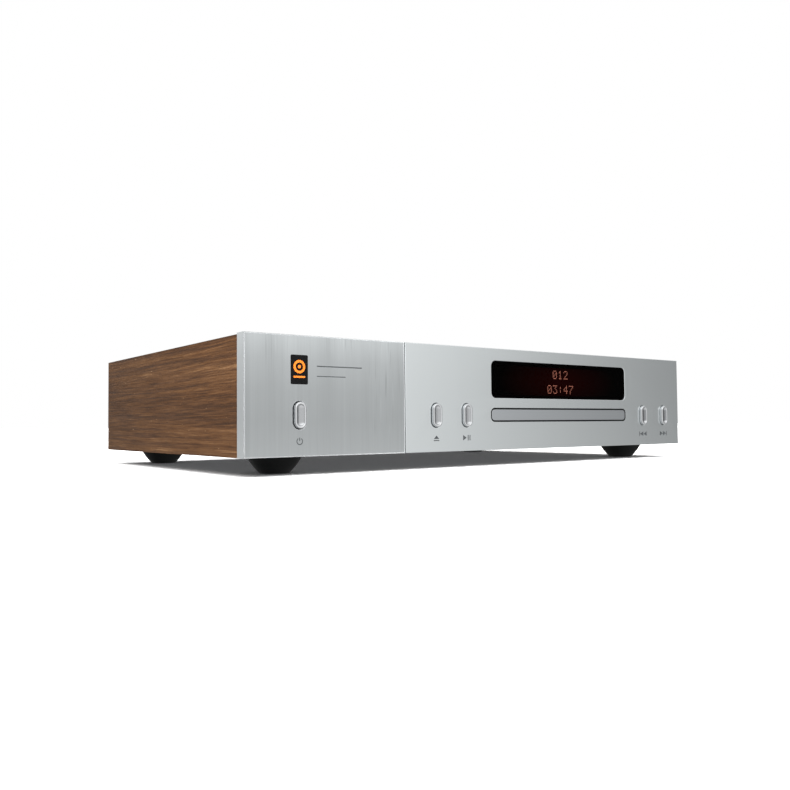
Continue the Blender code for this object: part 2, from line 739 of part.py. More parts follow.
def cabinet_boards(walnut):
    """Two side boards and the top, mitred where they meet."""
    left, right = WOOD_INSET, PANEL_W - WOOD_INSET
    shoulder = WOOD_TOP - WOOD_T
    depth = (PANEL_T + GAP, BODY_DEPTH)
    for name, outer, inner in (
        ("wood_left_side", left, left + WOOD_T),
        ("wood_right_side", right, right - WOOD_T),
    ):
        outline = [(outer, 0.0), (inner, 0.0), (inner, shoulder - MITRE_GAP), (outer, WOOD_TOP - MITRE_GAP)]
        plate(name, walnut, "y", [outline], depth)
    outline = [
        (left + MITRE_GAP, WOOD_TOP),
        (left + WOOD_T + MITRE_GAP, shoulder),
        (right - WOOD_T - MITRE_GAP, shoulder),
        (right - MITRE_GAP, WOOD_TOP),
    ]
    plate("wood_top_panel", walnut, "y", [outline], depth)


# ---------------------------------------------------------------- tray and its drive


def tray(paint, bezel_paint):
    """The disc tray, open at the rear centre so that the spindle clears it, with its rack below."""
    x = (TRAY_X - TRAY_HALF_W, TRAY_X + TRAY_HALF_W)
    slot = arc((TRAY_X, SPINDLE_DEPTH), TRAY_SLOT_HALF_W, 0.0, -math.pi, 12)
    outline = [
        (x[0], TRAY_FRONT),
        (x[1], TRAY_FRONT),
        (x[1], TRAY_REAR),
        (TRAY_X + TRAY_SLOT_HALF_W, TRAY_REAR),
        *slot,
        (TRAY_X - TRAY_SLOT_HALF_W, TRAY_REAR),
        (x[0], TRAY_REAR),
    ]
    body = plate("disc_tray", paint, "z", [outline], (TRAY_BOTTOM, TRAY_TOP))
    spindle = (TRAY_X, SPINDLE_DEPTH, 0.0)
    above = TRAY_TOP + 2.0
    for radius, seat in ((DISC_R, DISC_SEAT_Z), (SMALL_DISC_R, SMALL_DISC_SEAT_Z)):
        name = "disc_recess" if radius == DISC_R else "small_disc_recess"
        cut(body, rods(name, None, [spindle], radius + DISC_MARGIN, (seat, above), steps=40))
    add(body, plate("tray_rack", None, "z", [rack_outline()], (RACK_BOTTOM, TRAY_BOTTOM + 0.9)))
    shade_round(body)
    bezel_x = (SLOT_X[0] + BEZEL_GAP, SLOT_X[1] - BEZEL_GAP)
    bezel_z = (SLOT_Z[0] + BEZEL_GAP, SLOT_Z[1] - BEZEL_GAP)
    outline = rectangle(bezel_x, bezel_z, SLOT_R - BEZEL_GAP, 5)
    plate("tray_bezel", bezel_paint, "y", [outline], (0.0, BEZEL_T), 0.6)


def loader_frame(paint):
    """A channel that the tray slides in: ledges below its edges and lips above them."""
    inner = TRAY_HALF_W + FRAME_SIDE_GAP
    outer = inner + FRAME_WALL
    low, floor = FRAME_BASE_Z
    ledge, lip = TRAY_BOTTOM - GAP, TRAY_TOP + FRAME_SIDE_GAP
    half = [
        (outer, low),
        (outer, FRAME_TOP),
        (inner, FRAME_TOP),
        (inner, lip + FRAME_LIP_T),
        (inner - FRAME_LIP, lip + FRAME_LIP_T),
        (inner - FRAME_LIP, lip),
        (inner, lip),
        (inner, ledge),
        (inner - FRAME_LEDGE, ledge),
        (inner - FRAME_LEDGE, ledge - FRAME_LEDGE_T),
        (inner, ledge - FRAME_LEDGE_T),
        (inner, floor),
    ]
    outline = [(TRAY_X + u, v) for u, v in half] + [(TRAY_X - u, v) for u, v in reversed(half)]
    frame = plate("loader_frame", paint, "y", [outline], FRAME_DEPTH)
    root, top = sum(FRAME_BASE_Z) / 2, TRAY_BOTTOM - 0.7
    posts = {
        "gear_post": (GEAR_X, GEAR_BOTTOM - GAP),
        "pulley_post": (PULLEY_X, BELT_Z - PULLEY_HALF_H - 0.4),
    }
    for name, (x, shoulder) in posts.items():
        profile = [(0.0, top), (POST_R, top), (POST_R, shoulder), (POST_SHOULDER_R, shoulder)]
        profile += [(POST_SHOULDER_R, root), (0.0, root)]
        add(frame, turned(name, None, (x, GEAR_DEPTH, 0.0), profile, steps=12))
    ears = []
    ear_depth = (PIVOT_DEPTH - EAR_HALF_W, PIVOT_DEPTH + EAR_HALF_W)
    for x in (TRAVERSE_X[0] - 0.5 - PIVOT_REACH, TRAVERSE_X[1] + 0.5):
        ears.append(((x, x + PIVOT_REACH), ear_depth, (root, PIVOT_Z + PIVOT_REACH)))
    add(frame, blocks("pivot_ears", ears))
    reach = (TRAVERSE_X[0] - 1.5 * PIVOT_REACH, TRAVERSE_X[1] + 1.5 * PIVOT_REACH)
    bore = [(0.0, PIVOT_DEPTH, PIVOT_Z)]
    cut(frame, rods("pivot_bores", None, bore, PIVOT_R + GAP, reach, "x", 16))


def pulley_profile(bore_r, groove_r, rim_r):
    """A grooved pulley's section, level with the belt."""
    low, high = BELT_Z - PULLEY_HALF_H, BELT_Z + PULLEY_HALF_H
    return [
        (bore_r, high),
        (rim_r, high),
        (rim_r, BELT_Z + GROOVE_HALF_H + GAP),
        (groove_r, BELT_Z + GROOVE_HALF_H),
        (groove_r, BELT_Z - GROOVE_HALF_H),
        (rim_r, BELT_Z - GROOVE_HALF_H - GAP),
        (rim_r, low),
        (bore_r, low),
    ]


def tray_gears(paint, motor_paint, belt_paint):
    """The small motor, its belt, and the two gears that drive the rack."""
    gear_at = (GEAR_X, GEAR_DEPTH)
    first_gap = math.pi + math.pi / GEAR_TEETH
    outlines = [gear_outline(GEAR_TEETH, gear_at, first_gap), circle(gear_at, GEAR_BORE_R, 12)]
    plate("tray_drive_gear", paint, "z", outlines, (GEAR_BOTTOM, TRAY_BOTTOM - 0.4), origin=gear_at)
    pulley_at = (PULLEY_X, GEAR_DEPTH)
    profile = pulley_profile(GEAR_BORE_R, PULLEY_GROOVE_R, PULLEY_GROOVE_R + PULLEY_RIM)
    pulley = turned("belt_pulley_gear", paint, (*pulley_at, 0.0), profile, steps=24)
    outlines = [gear_outline(PINION_TEETH, pulley_at, math.pi), circle(pulley_at, GEAR_BORE_R + 0.2, 12)]
    pinion_z = (BELT_Z + PULLEY_HALF_H - SUNK, TRAY_BOTTOM - 0.5)
    add(pulley, plate("pinion", None, "z", outlines, pinion_z, origin=pulley_at))
    profile = pulley_profile(0.0, MOTOR_GROOVE_R, MOTOR_GROOVE_R + MOTOR_PULLEY_RIM)
    turned("motor_pulley", paint, (MOTOR_X, GEAR_DEPTH, 0.0), profile, steps=14)
    top = BELT_Z - PULLEY_HALF_H - GAP
    base = FRAME_BASE_Z[1] + GAP
    profile = [(0.0, top), (1.0, top), (1.0, top - 0.8), (4.0, top - 0.8), (4.0, top - 1.8)]
    profile += [(LOADING_MOTOR_R, top - 1.8), (LOADING_MOTOR_R, base), (0.0, base)]
    turned("loading_motor", motor_paint, (MOTOR_X, GEAR_DEPTH, 0.0), profile, steps=16)
    belt(belt_paint)


def belt_loop(grow):
    """The belt's outline round both pulleys: two arcs and their outer tangents."""
    big = PULLEY_GROOVE_R + GAP + grow
    small = MOTOR_GROOVE_R + GAP + grow
    lean = math.acos((big - small) / (MOTOR_X - PULLEY_X))
    steps = 12
    return arc((PULLEY_X, GEAR_DEPTH), big, lean, 2 * math.pi - lean, steps) + arc(
        (MOTOR_X, GEAR_DEPTH), small, -lean, lean, steps // 2
    )


def belt(paint):
    """The drive belt, a little clear of both grooves."""
    z = (BELT_Z - BELT_SIZE / 2, BELT_Z + BELT_SIZE / 2)
    plate("loading_belt", paint, "z", [belt_loop(BELT_SIZE), belt_loop(0.0)], z)


# ---------------------------------------------------------------- clamp, traverse and pickup


def clamp(steel, paint):
    """The bridge over the tray and the clamp disc that hangs in it above the spindle."""
    outer = TRAY_HALF_W + FRAME_SIDE_GAP + FRAME_WALL
    z = (FRAME_TOP + GAP, FRAME_TOP + GAP + SHEET)
    outlines = [
        rectangle((TRAY_X - outer, TRAY_X + outer), CLAMP_DEPTH),
        circle((TRAY_X, SPINDLE_DEPTH), CLAMP_HOLE_R, 24),
    ]
    plate("clamp_bridge", steel, "z", outlines, z)
    hang = TRAY_TOP + 0.8
    collar = z[1] + 0.7
    profile = [
        (0.0, collar + 1.0),
        (CLAMP_COLLAR_R, collar + 1.0),
        (CLAMP_COLLAR_R, collar),
        (CLAMP_NECK_R, collar),
        (CLAMP_NECK_R, hang + 3.0),
        (CLAMP_R, hang + 3.0),
        (CLAMP_R, hang),
        (CLAMP_HOLLOW_R, hang),
        (CLAMP_HOLLOW_R, hang + 2.5),
        (0.0, hang + 2.5),
    ]
    turned("disc_clamper", paint, (TRAY_X, SPINDLE_DEPTH, 0.0), profile, steps=20)


def spindle(hub_paint, motor_paint):
    """The turntable that centres the disc, and the flat motor below it."""
    seat = DISC_SEAT_Z + 1.5
    top = TRAVERSE_Z[0] - GAP
    profile = [
        (0.0, seat + 2.0),
        (HUB_TIP_R, seat + 2.0),
        (HUB_R, seat + 0.5),
        (HUB_R, seat),
        (HUB_SEAT_R, seat),
        (HUB_SEAT_R, seat - 2.5),
        (HUB_NECK_R, seat - 2.5),
        (HUB_NECK_R, seat - 6.0),
        (SPINDLE_R, seat - 6.0),
        (SPINDLE_R, top + GAP),
        (0.0, top + GAP),
    ]
    turned("spindle_turntable", hub_paint, (TRAY_X, SPINDLE_DEPTH, 0.0), profile, steps=16)
    base = top - SPINDLE_MOTOR_H
    profile = [(0.0, top), (SPINDLE_MOTOR_R, top), (SPINDLE_MOTOR_R, base + 1.2)]
    profile += [(SPINDLE_MOTOR_R - 1.5, base), (0.0, base)]
    turned("spindle_motor", motor_paint, (TRAY_X, SPINDLE_DEPTH, 0.0), profile, steps=16)


def rod_places():
    """Where both guide rods and the lead screw run."""
    return [(TRAY_X - ROD_OFFSET, 0.0, ROD_Z), (TRAY_X + ROD_OFFSET, 0.0, ROD_Z), (LEAD_X, 0.0, LEAD_Z)]


def traverse(paint):
    """The tilting plate that carries the spindle, the rods and the pickup."""
    x, depth = TRAVERSE_X, TRAVERSE_DEPTH
    notch_x = LEAD_X - SLED_MOTOR_R - 1.2
    notch = TRAVERSE_NOTCH_DEPTH
    outline = [
        (x[0], depth[0]),
        (x[1], depth[0]),
        (x[1], notch[0]),
        (notch_x, notch[0]),
        (notch_x, notch[1]),
        (x[1], notch[1]),
        (x[1], depth[1]),
        (x[0], depth[1]),
    ]
    holes = [rectangle(*TRAVERSE_WINDOW), circle((TRAY_X, SPINDLE_DEPTH), 2.5, 12)]
    body = plate("traverse_chassis", paint, "z", [outline, *holes], TRAVERSE_Z)
    holders = []
    holder_z = (TRAVERSE_Z[1] - SUNK, ROD_Z + 2.5)
    for rod_x in (TRAY_X - ROD_OFFSET, TRAY_X + ROD_OFFSET):
        for start in ROD_HOLDER_DEPTHS:
            holders.append(((rod_x - 3.0, rod_x + 3.0), (start, start + ROD_HOLDER_T), holder_z))
    holders.append(((LEAD_X - 3.5, LEAD_X + 3.5), LEAD_HOLDER, (LEAD_Z - 2.9, TRAVERSE_Z[0] + SUNK)))
    add(body, blocks("rod_holders", holders))
    pin = [(0.0, PIVOT_DEPTH, PIVOT_Z)]
    for name, reach in (
        ("pivot_pin_left", (x[0] - PIVOT_REACH, x[0] + 1.0)),
        ("pivot_pin_right", (x[1] - 1.0, x[1] + PIVOT_REACH)),
    ):
        add(body, rods(name, None, pin, PIVOT_R, reach, "x", 16))
    cut(body, rods("traverse_bores", None, rod_places(), ROD_BORE_R, (80.0, 160.0), "y", 10))


def pickup(paint, lens_paint):
    """The sled on its two rods, with an arm round the lead screw and the lens above it."""
    sled_x = (TRAY_X - SLED_HALF_W, TRAY_X + SLED_HALF_W)
    sled_depth = (SLED_DEPTH - SLED_HALF_DEPTH, SLED_DEPTH + SLED_HALF_DEPTH)
    sled_z = (TRAVERSE_Z[1] + GAP, TRAY_BOTTOM - 0.5)
    sled = box("optical_pickup", paint, sled_x, sled_depth, sled_z)
    belly_z = (15.0, sled_z[0] + SUNK)
    belly = ((TRAY_X - 16.5, TRAY_X + 16.5), (SLED_DEPTH - 8.5, SLED_DEPTH + 9.0), belly_z)
    add(sled, blocks("sled_belly", [belly]))
    arm = ((TRAY_X + 14.0, LEAD_X + 4.0), (SLED_DEPTH - 4.0, SLED_DEPTH + 4.0), (12.2, 17.4))
    add(sled, blocks("sled_arm", [arm]))
    cut(sled, rods("sled_bores", None, rod_places(), ROD_BORE_R, (80.0, 130.0), "y", 10))
    low = sled_z[1] + 0.6
    profile = [(0.0, low + 2.6), (2.0, low + 2.9), (3.2, low + 2.9), (3.2, low + 2.0), (6.0, low + 1.4)]
    profile += [(6.0, low), (0.0, low)]
    turned("pickup_lens", lens_paint, (TRAY_X, SLED_DEPTH, 0.0), profile, steps=14)


def sled_drive(steel, motor_paint):
    """The guide rods, the lead screw and the motor that turns it."""
    for name, x in (("guide_rod_left", TRAY_X - ROD_OFFSET), ("guide_rod_right", TRAY_X + ROD_OFFSET)):
        shade_round(rods(name, steel, [(x, sum(ROD_REACH) / 2, ROD_Z)], ROD_R, ROD_REACH, "y", 12))
    lead = (LEAD_X, sum(LEAD_REACH) / 2, LEAD_Z)
    shade_round(rods("lead_screw", steel, [lead], ROD_R, LEAD_REACH, "y", 12))
    motor = (LEAD_X, sum(SLED_MOTOR_REACH) / 2, LEAD_Z)
    shade_round(rods("sled_motor", motor_paint, [motor], SLED_MOTOR_R, SLED_MOTOR_REACH, "y", 20))


# ---------------------------------------------------------------- electronics and connectors


def main_board(paint):
    """The signal board: its chips, the ribbon cable's socket and a few small capacitors."""
    board = box("main_board", paint, *MAIN_BOARD, BOARD_Z)
    sunk, top = BOARD_Z[1] - SUNK, BOARD_Z[1]
    processor = ((240.0, 262.0), (225.0, 247.0), (sunk, top + 2.2))
    converter = ((282.0, 296.0), (228.0, 242.0), (sunk, top + 2.2))
    amplifier = ((310.0, 318.0), (222.0, 232.0), (sunk, top + 1.8))
    socket = ((345.0, 365.0), (218.0, 223.0), (sunk, top + 7.0))
    driver = ((372.0, 380.0), (236.0, 244.0), (sunk, top + 1.8))
    add(board, blocks("main_board_chips", [processor, converter, amplifier, socket, driver]))
    cans = [(340.0, 238.0, 0.0), (354.0, 234.0, 0.0)]
    cans += [(392.0 + 13.0 * i, 226.0, 0.0) for i in range(3)]
    add(board, rods("main_board_cans", None, cans, 4.0, (sunk, top + 11.0), steps=8))


def power_supply(board_paint, steel, can_paint, copper, heat_paint):
    """The supply board, its two large capacitors and its heat sink, with the mains transformer."""
    board = box("power_board", board_paint, *POWER_BOARD, BOARD_Z)
    sunk = BOARD_Z[1] - SUNK
    relay = ((120.0, 138.0), (240.0, 256.0), (sunk, 22.0))
    bridge = ((150.0, 158.0), (244.0, 254.0), (sunk, 24.0))
    add(board, blocks("power_board_parts", [relay, bridge]))
    above = BOARD_Z[1] + GAP
    top, bevel = above + FILTER_H, 0.8
    for name, x in FILTER_CAPACITORS.items():
        profile = [(0.0, top), (FILTER_R - bevel, top), (FILTER_R, top - bevel), (FILTER_R, above)]
        profile.append((0.0, above))
        turned(name, can_paint, (x, FILTER_DEPTH, 0.0), profile, steps=16)
    fins = []
    for i in range(FINS):
        start = 200.0 + i * FIN_PITCH
        fins.append(((178.5, 190.0), (start, start + 2.0), (above, above + HEAT_SINK_H)))
    sink = box("heat_sink", heat_paint, (176.0, 179.0), (198.0, 234.0), (above, above + HEAT_SINK_H))
    add(sink, blocks("heat_sink_fins", fins))
    transformer(copper, steel)


def transformer(copper, steel):
    """The ring-shaped mains transformer and the dished washer and bolt that hold it down."""
    (low, high), (inner_r, outer_r) = TRANSFORMER_Z, TRANSFORMER_R
    edge, round_by = TRANSFORMER_EDGE, 1.8
    profile = [(inner_r, high - edge), (inner_r + edge, high), (outer_r - edge, high)]
    profile += [(outer_r - round_by, high - round_by), (outer_r, high - edge)]
    profile += [(outer_r, low + edge), (outer_r - round_by, low + round_by)]
    profile += [(outer_r - edge, low), (inner_r + edge, low), (inner_r, low + edge)]
    turned("power_transformer", copper, TRANSFORMER_AT, profile, steps=24)
    head_r, washer_r, bolt_r = 5.0, 27.0, 3.0
    washer = high + GAP + 1.5
    profile = [
        (0.0, high + 6.0),
        (head_r, high + 6.0),
        (head_r, washer),
        (washer_r, washer),
        (washer_r, high + GAP),
        (bolt_r, high + GAP),
        (bolt_r, low - 0.2),
        (0.0, low - 0.2),
    ]
    turned("transformer_clamp", steel, TRANSFORMER_AT, profile, steps=16)


def rca_jack(name, x, paint):
    """A phono socket: a block inside the rear panel and a barrel that stands out behind it."""
    inside = (REAR_DEPTH - 14.0, REAR_DEPTH - GAP)
    body = box(name, paint, (x - 6.5, x + 6.5), inside, (JACK_Z - 8.0, JACK_Z + 8.0))
    reach = JACK_REACH - inside[1]
    flange, floor = -2.6, -2.0
    profile = [
        (0.0, SUNK),
        (JACK_FLANGE_R, SUNK),
        (JACK_FLANGE_R, flange),
        (JACK_BARREL_R, flange),
        (JACK_BARREL_R, -reach),
        (JACK_BORE_R, -reach),
        (JACK_BORE_R, floor),
        (0.0, floor),
    ]
    add(body, turned(name + "_barrel", None, (x, inside[1], JACK_Z), profile, "y", 16))


def connectors(jack_paint, plastic):
    """The phono sockets, the square optical socket and the mains inlet."""
    for name, x in LINE_OUT_X.items():
        rca_jack(name, x, jack_paint)
    rca_jack("digital_out_jack", DIGITAL_OUT_X, jack_paint)
    back = REAR_DEPTH + SOCKET_PROUD
    optical = box("optical_out_socket", plastic, OPTICAL_X, (REAR_DEPTH - 12.0, back), OPTICAL_Z)
    middle_x, middle_z, half = sum(OPTICAL_X) / 2, sum(OPTICAL_Z) / 2, 4.0
    mouth_x = (middle_x - half, middle_x + half)
    mouth_z = (middle_z - half, middle_z + half)
    cut(optical, box("optical_mouth", None, mouth_x, (REAR_DEPTH - 4.0, back + 1.0), mouth_z))
    inlet = box("mains_inlet", plastic, INLET_X, (REAR_DEPTH - 22.0, back), INLET_Z)
    rim, floor = 3.0, REAR_DEPTH - 14.0
    mouth_x = (INLET_X[0] + rim, INLET_X[1] - rim)
    mouth_z = (INLET_Z[0] + rim, INLET_Z[1] - rim)
    cut(inlet, box("inlet_mouth", None, mouth_x, (floor, back + 1.0), mouth_z))
    middle_x, middle_z = sum(INLET_X) / 2, sum(INLET_Z) / 2
    pins = []
    for pin_x in (middle_x - 4.5, middle_x + 4.5):
        across = (pin_x - 1.0, pin_x + 1.0)
        pins.append((across, (floor - 1.0, REAR_DEPTH + 1.0), (middle_z - 2.0, middle_z + 2.0)))
    add(inlet, blocks("inlet_pins", pins))


def ribbon_cable(paint):
    """The flat cable from the display board, over the loader, down to the main board."""
    path = [(20.0, 61.0), (40.0, 53.0), (80.0, 49.0), (190.0, 49.0), (212.0, 42.0), (220.3, 20.0)]
    plate("display_ribbon_cable", paint, "x", [strip_outline(path, CABLE_T)], CABLE_X)


def build():
    clear_scene()
    aluminium = material("brushed_aluminium", (0.54, 0.55, 0.55), 0.38, 1.0)
    button_metal = material("button_aluminium", (0.60, 0.61, 0.61), 0.28, 1.0)
    bezel_metal = material("bezel_aluminium", (0.45, 0.46, 0.46), 0.36, 1.0)
    walnut = material("walnut_veneer", (0.165, 0.082, 0.040), 0.45)
    rubber = material("foot_rubber", (0.012, 0.013, 0.013), 0.6)
    badge_black = material("badge_black", (0.010, 0.010, 0.010), 0.3)
    smoked = material("smoked_acrylic", (0.012, 0.008, 0.008), 0.08)
    module_black = material("display_black", (0.015, 0.010, 0.010), 0.4)
    steel = material("zinc_plated_steel", (0.50, 0.51, 0.52), 0.35, 1.0)
    painted = material("black_painted_steel", (0.02, 0.02, 0.02), 0.5, 0.0)
    bright_steel = material("bright_steel", (0.62, 0.62, 0.63), 0.18, 1.0)
    black_plastic = material("black_plastic", (0.018, 0.018, 0.019), 0.5)
    gear_plastic = material("white_gear_plastic", (0.75, 0.74, 0.70), 0.4)
    clamp_plastic = material("grey_plastic", (0.20, 0.20, 0.21), 0.5)
    belt_rubber = material("belt_rubber", (0.015, 0.015, 0.015), 0.7)
    board_green = material("circuit_board", (0.015, 0.11, 0.05), 0.4)
    can_blue = material("capacitor_sleeve", (0.02, 0.03, 0.08), 0.35)
    winding = material("transformer_wrap", (0.55, 0.38, 0.08), 0.5)
    lens_glass = material("lens_holder", (0.05, 0.05, 0.07), 0.1)
    jack_metal = material("jack_gold", (0.70, 0.50, 0.18), 0.25, 1.0)
    heat_black = material("anodised_heat_sink", (0.04, 0.04, 0.045), 0.4, 1.0)
    cable_grey = material("ribbon_cable_grey", (0.40, 0.40, 0.42), 0.6)

    front_plates(aluminium)
    badge(badge_black)
    subframe(steel)
    for name, x in BUTTONS.items():
        button(name, x, button_metal)
    switch_board("power_switch_board", list(POWER_BUTTON.values()), board_green)
    switch_board("left_transport_board", list(LEFT_BUTTONS.values()), board_green)
    switch_board("right_transport_board", list(RIGHT_BUTTONS.values()), board_green)
    window(smoked)
    display(module_black, board_green)
    for name, place in foot_places().items():
        foot(name, *place, rubber, bright_steel)
    chassis(steel)
    rear_panel(painted)
    cabinet_boards(walnut)
    tray(black_plastic, bezel_metal)
    loader_frame(black_plastic)
    tray_gears(gear_plastic, bright_steel, belt_rubber)
    clamp(steel, clamp_plastic)
    spindle(clamp_plastic, bright_steel)
    traverse(black_plastic)
    pickup(black_plastic, lens_glass)
    sled_drive(bright_steel, bright_steel)
    main_board(board_green)
    power_supply(board_green, bright_steel, can_blue, winding, heat_black)
    connectors(jack_metal, black_plastic)
    ribbon_cable(cable_grey)


build()
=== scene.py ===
"""Looks of a full-width disc player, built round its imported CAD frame. Metres, +Z up, front towards -Y."""

import json
import math

import bmesh
import bpy
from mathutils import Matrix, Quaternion, Vector


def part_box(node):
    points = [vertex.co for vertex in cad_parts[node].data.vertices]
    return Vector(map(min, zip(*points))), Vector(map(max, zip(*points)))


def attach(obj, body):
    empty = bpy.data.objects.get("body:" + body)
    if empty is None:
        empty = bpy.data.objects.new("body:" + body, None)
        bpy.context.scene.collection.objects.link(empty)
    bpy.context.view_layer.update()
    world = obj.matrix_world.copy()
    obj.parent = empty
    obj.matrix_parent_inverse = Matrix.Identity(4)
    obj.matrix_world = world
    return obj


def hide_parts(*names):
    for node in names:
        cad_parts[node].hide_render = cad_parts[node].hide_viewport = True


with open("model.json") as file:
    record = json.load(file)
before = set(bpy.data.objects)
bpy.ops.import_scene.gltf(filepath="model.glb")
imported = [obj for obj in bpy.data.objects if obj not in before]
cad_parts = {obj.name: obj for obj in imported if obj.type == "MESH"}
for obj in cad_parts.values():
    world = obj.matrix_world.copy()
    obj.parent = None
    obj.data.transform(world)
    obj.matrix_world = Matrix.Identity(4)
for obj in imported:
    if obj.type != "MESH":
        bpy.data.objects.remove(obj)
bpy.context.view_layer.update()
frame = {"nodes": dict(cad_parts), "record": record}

MM = 0.001
# A step too small to see, which keeps two surfaces apart
HAIR = 0.02 * MM
# The rounded edge of small pieces
SMALL_EDGE = 0.2 * MM

SLOT_OF = {part["node"]: part["material_slot"] for part in frame["record"]["subparts"]}
BODY_OF = {
    node: body for body, nodes in frame["record"]["behaviour"]["bodies"].items() for node in nodes
}

# The whole front, from the CAD
LEFT_LO, LEFT_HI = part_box("front_panel_left")
RIGHT_LO, RIGHT_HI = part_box("front_panel_right")
FRONT_Y = LEFT_LO.y
PANEL_BACK = LEFT_HI.y
PANEL_LEFT = LEFT_LO.x
PANEL_BOTTOM, PANEL_TOP = LEFT_LO.z, LEFT_HI.z

# Gaps, flanges and corners of the solids in the CAD; the buttons' flanges are behind the plates
BUTTON_FLANGE = 1.8 * MM
BUTTON_FLANGE_DEPTH = (0.3 * MM, 1.5 * MM)
BUTTON_GAP = 0.35 * MM
WINDOW_FLANGE = 1.5 * MM
WINDOW_GAP = 0.3 * MM
WINDOW_CORNER = 4.4 * MM
SLOT_GAP = 0.65 * MM
SLOT_CORNER = 3.5 * MM
BADGE_GAP = 0.15 * MM
BADGE_CORNER = 1.0 * MM

# The plates' rounded edges, and how many times wider the left plate's is at the seam
LEFT_EDGE = 0.8 * MM
RIGHT_EDGE = 0.5 * MM
SEAM_SPREAD = 2.4

# A button's cap: its rounded shoulder, flat rim and hollow, and the post behind it
CAP_SHOULDER = 0.8 * MM
CAP_RIM = 0.5 * MM
CAP_HOLLOW = 1.2 * MM
CAP_HOLLOW_POWER = 4.0
CAP_SHOULDER_STEPS = 6
CAP_HOLLOW_STEPS = 10
CAP_OUTLINE_STEPS = 24
CAP_SHARP = math.radians(60)
STEM_R = 2.5 * MM
# How strongly the painted shade in a hollow shows, on the skip buttons and the others, and how it fades at
# its ends
HOLLOW_SHADE_SKIP, HOLLOW_SHADE = 1.0, 0.55
HOLLOW_SHADE_FADE = 2.4 * MM
HOLLOW_SHADE_END = 0.35

# Badge: its ring, hub and line, and where the ring's middle is as a share of the plate's height
BADGE_MIDDLE = 0.60
BADGE_RING_R = (4.3 * MM, 2.7 * MM)
BADGE_HUB_R = 1.1 * MM
BADGE_LINE_DROP = 7.2 * MM
BADGE_LINE_H = 1.2 * MM
BADGE_EDGE = 0.1 * MM
BADGE_SIGN_DEPTH = (-0.04 * MM, 0.05 * MM)

# Printed marks: how far ink stands out of a plate, and heights from the plates' lower edge
PRINT_PROUD = 0.03 * MM
MARK_SIZE = 4.1 * MM
MARK_LINE = 0.7 * MM
MARK_HEIGHT = 9.9 * MM
RULE_START = 52.0 * MM
RULES = (
    # name, height, length, thickness
    ("rule_upper", 58.3 * MM, 35.4 * MM, 0.75 * MM),
    ("rule_lower", 51.8 * MM, 22.2 * MM, 0.6 * MM),
)

# Display: its pane, the skirt round it, its dots, and the tops of its two lines of numbers
PANE_DEPTH = 1.6 * MM
PANE_EDGE = 0.25 * MM
SKIRT = 1.0 * MM
SCREEN_CORNER = 1.0 * MM
DOT_PITCH = 1.03 * MM
DOT_SIZE = 0.47 * MM
DOT_THICKNESS = 0.1 * MM
DOT_STAND_OFF = 0.1 * MM
CHARACTER_PITCH = 6.55 * MM
CHARACTER_SPACE = 1.1 * MM
TRACK_TOP = 63.8 * MM
TIME_TOP = 51.6 * MM
# The glow's reach from the middle, as shares of the screen's width and height
GLOW_REACH = (0.46, 1.0333)

# A dark ring in the tray's slot, a painted shade for its gap: how far it reaches past the bezel, and its
# gaps to what slides
SLOT_SHADE_SIDE = 1.0 * MM
SLOT_SHADE_BELOW = 1.15 * MM
SLOT_SHADE_ABOVE = 1.25 * MM
SLOT_SHADE_CORNER = 3.9 * MM
SLOT_SHADE_GAP = 0.12 * MM
SLOT_SHADE_TRAY_GAP = 0.1 * MM
SLOT_SHADE_DEPTH = 1.6 * MM
BEZEL_EDGE = 0.35 * MM

# Screws of the rear panel: their distance from its upper and lower edges, and their shares of its width
SCREW_R = 2.9 * MM
SCREW_CROSS = (1.6 * MM, 0.7 * MM)
SCREW_DEPTH = (HAIR, 1.2 * MM)
SCREW_INSET = 6.0 * MM
SCREW_SHARES = (0.025, 0.345, 0.655, 0.975)

# A foot: how far it is inside its CAD solid at the top, its lower radius, its lower edge, its upright
# rim, the swell of its sloping side, and the hollow and bore for its screw
FOOT_INSET = 0.4 * MM
FOOT_LOW_R = 10.0 * MM
FOOT_EDGE = 1.2 * MM
FOOT_RIM = 0.9 * MM
FOOT_TOP_EDGE = 0.3 * MM
FOOT_SWELL = 0.5 * MM
FOOT_SIDE_STEPS = 10
FOOT_HOLLOW_R = 4.6 * MM
FOOT_HOLLOW = 6.0 * MM
FOOT_HOLLOW_EDGE = 0.2 * MM
FOOT_BORE_R = 1.8 * MM

# CAD nodes that keep their shape: the angle over which an edge stays sharp, and the wood's soft edges
CAD_SHARP = math.radians(32)
WOOD_EDGE = 0.35 * MM

BUTTONS = ("power_button", "eject_button", "play_pause_button", "skip_back_button", "skip_forward_button")
FEET = ("foot_front_left", "foot_front_right", "foot_rear_left", "foot_rear_right")
WOOD = ("wood_left_side", "wood_right_side", "wood_top_panel")


def srgb(red, green, blue):
    """A colour given as 0 to 255 display values, as linear light."""
    return tuple(
        c / 12.92 if c <= 0.04045 else ((c + 0.055) / 1.055) ** 2.4
        for c in (red / 255, green / 255, blue / 255)
    )


# ---------------------------------------------------------------- shader building


class Nodes:
    """A node tree that grows by short calls."""

    def __init__(self, tree):
        self.tree = tree

    def add(self, kind, inputs=None, **settings):
        made = self.tree.nodes.new(kind)
        for key, value in settings.items():
            setattr(made, key, value)
        for key, value in (inputs or {}).items():
            self.put(made.inputs[key], value)
        return made

    def put(self, socket, value):
        if isinstance(value, bpy.types.NodeSocket):
            self.tree.links.new(value, socket)
        elif isinstance(value, tuple) and socket.type == "RGBA":
            socket.default_value = (*value[:3], 1.0)
        else:
            socket.default_value = value


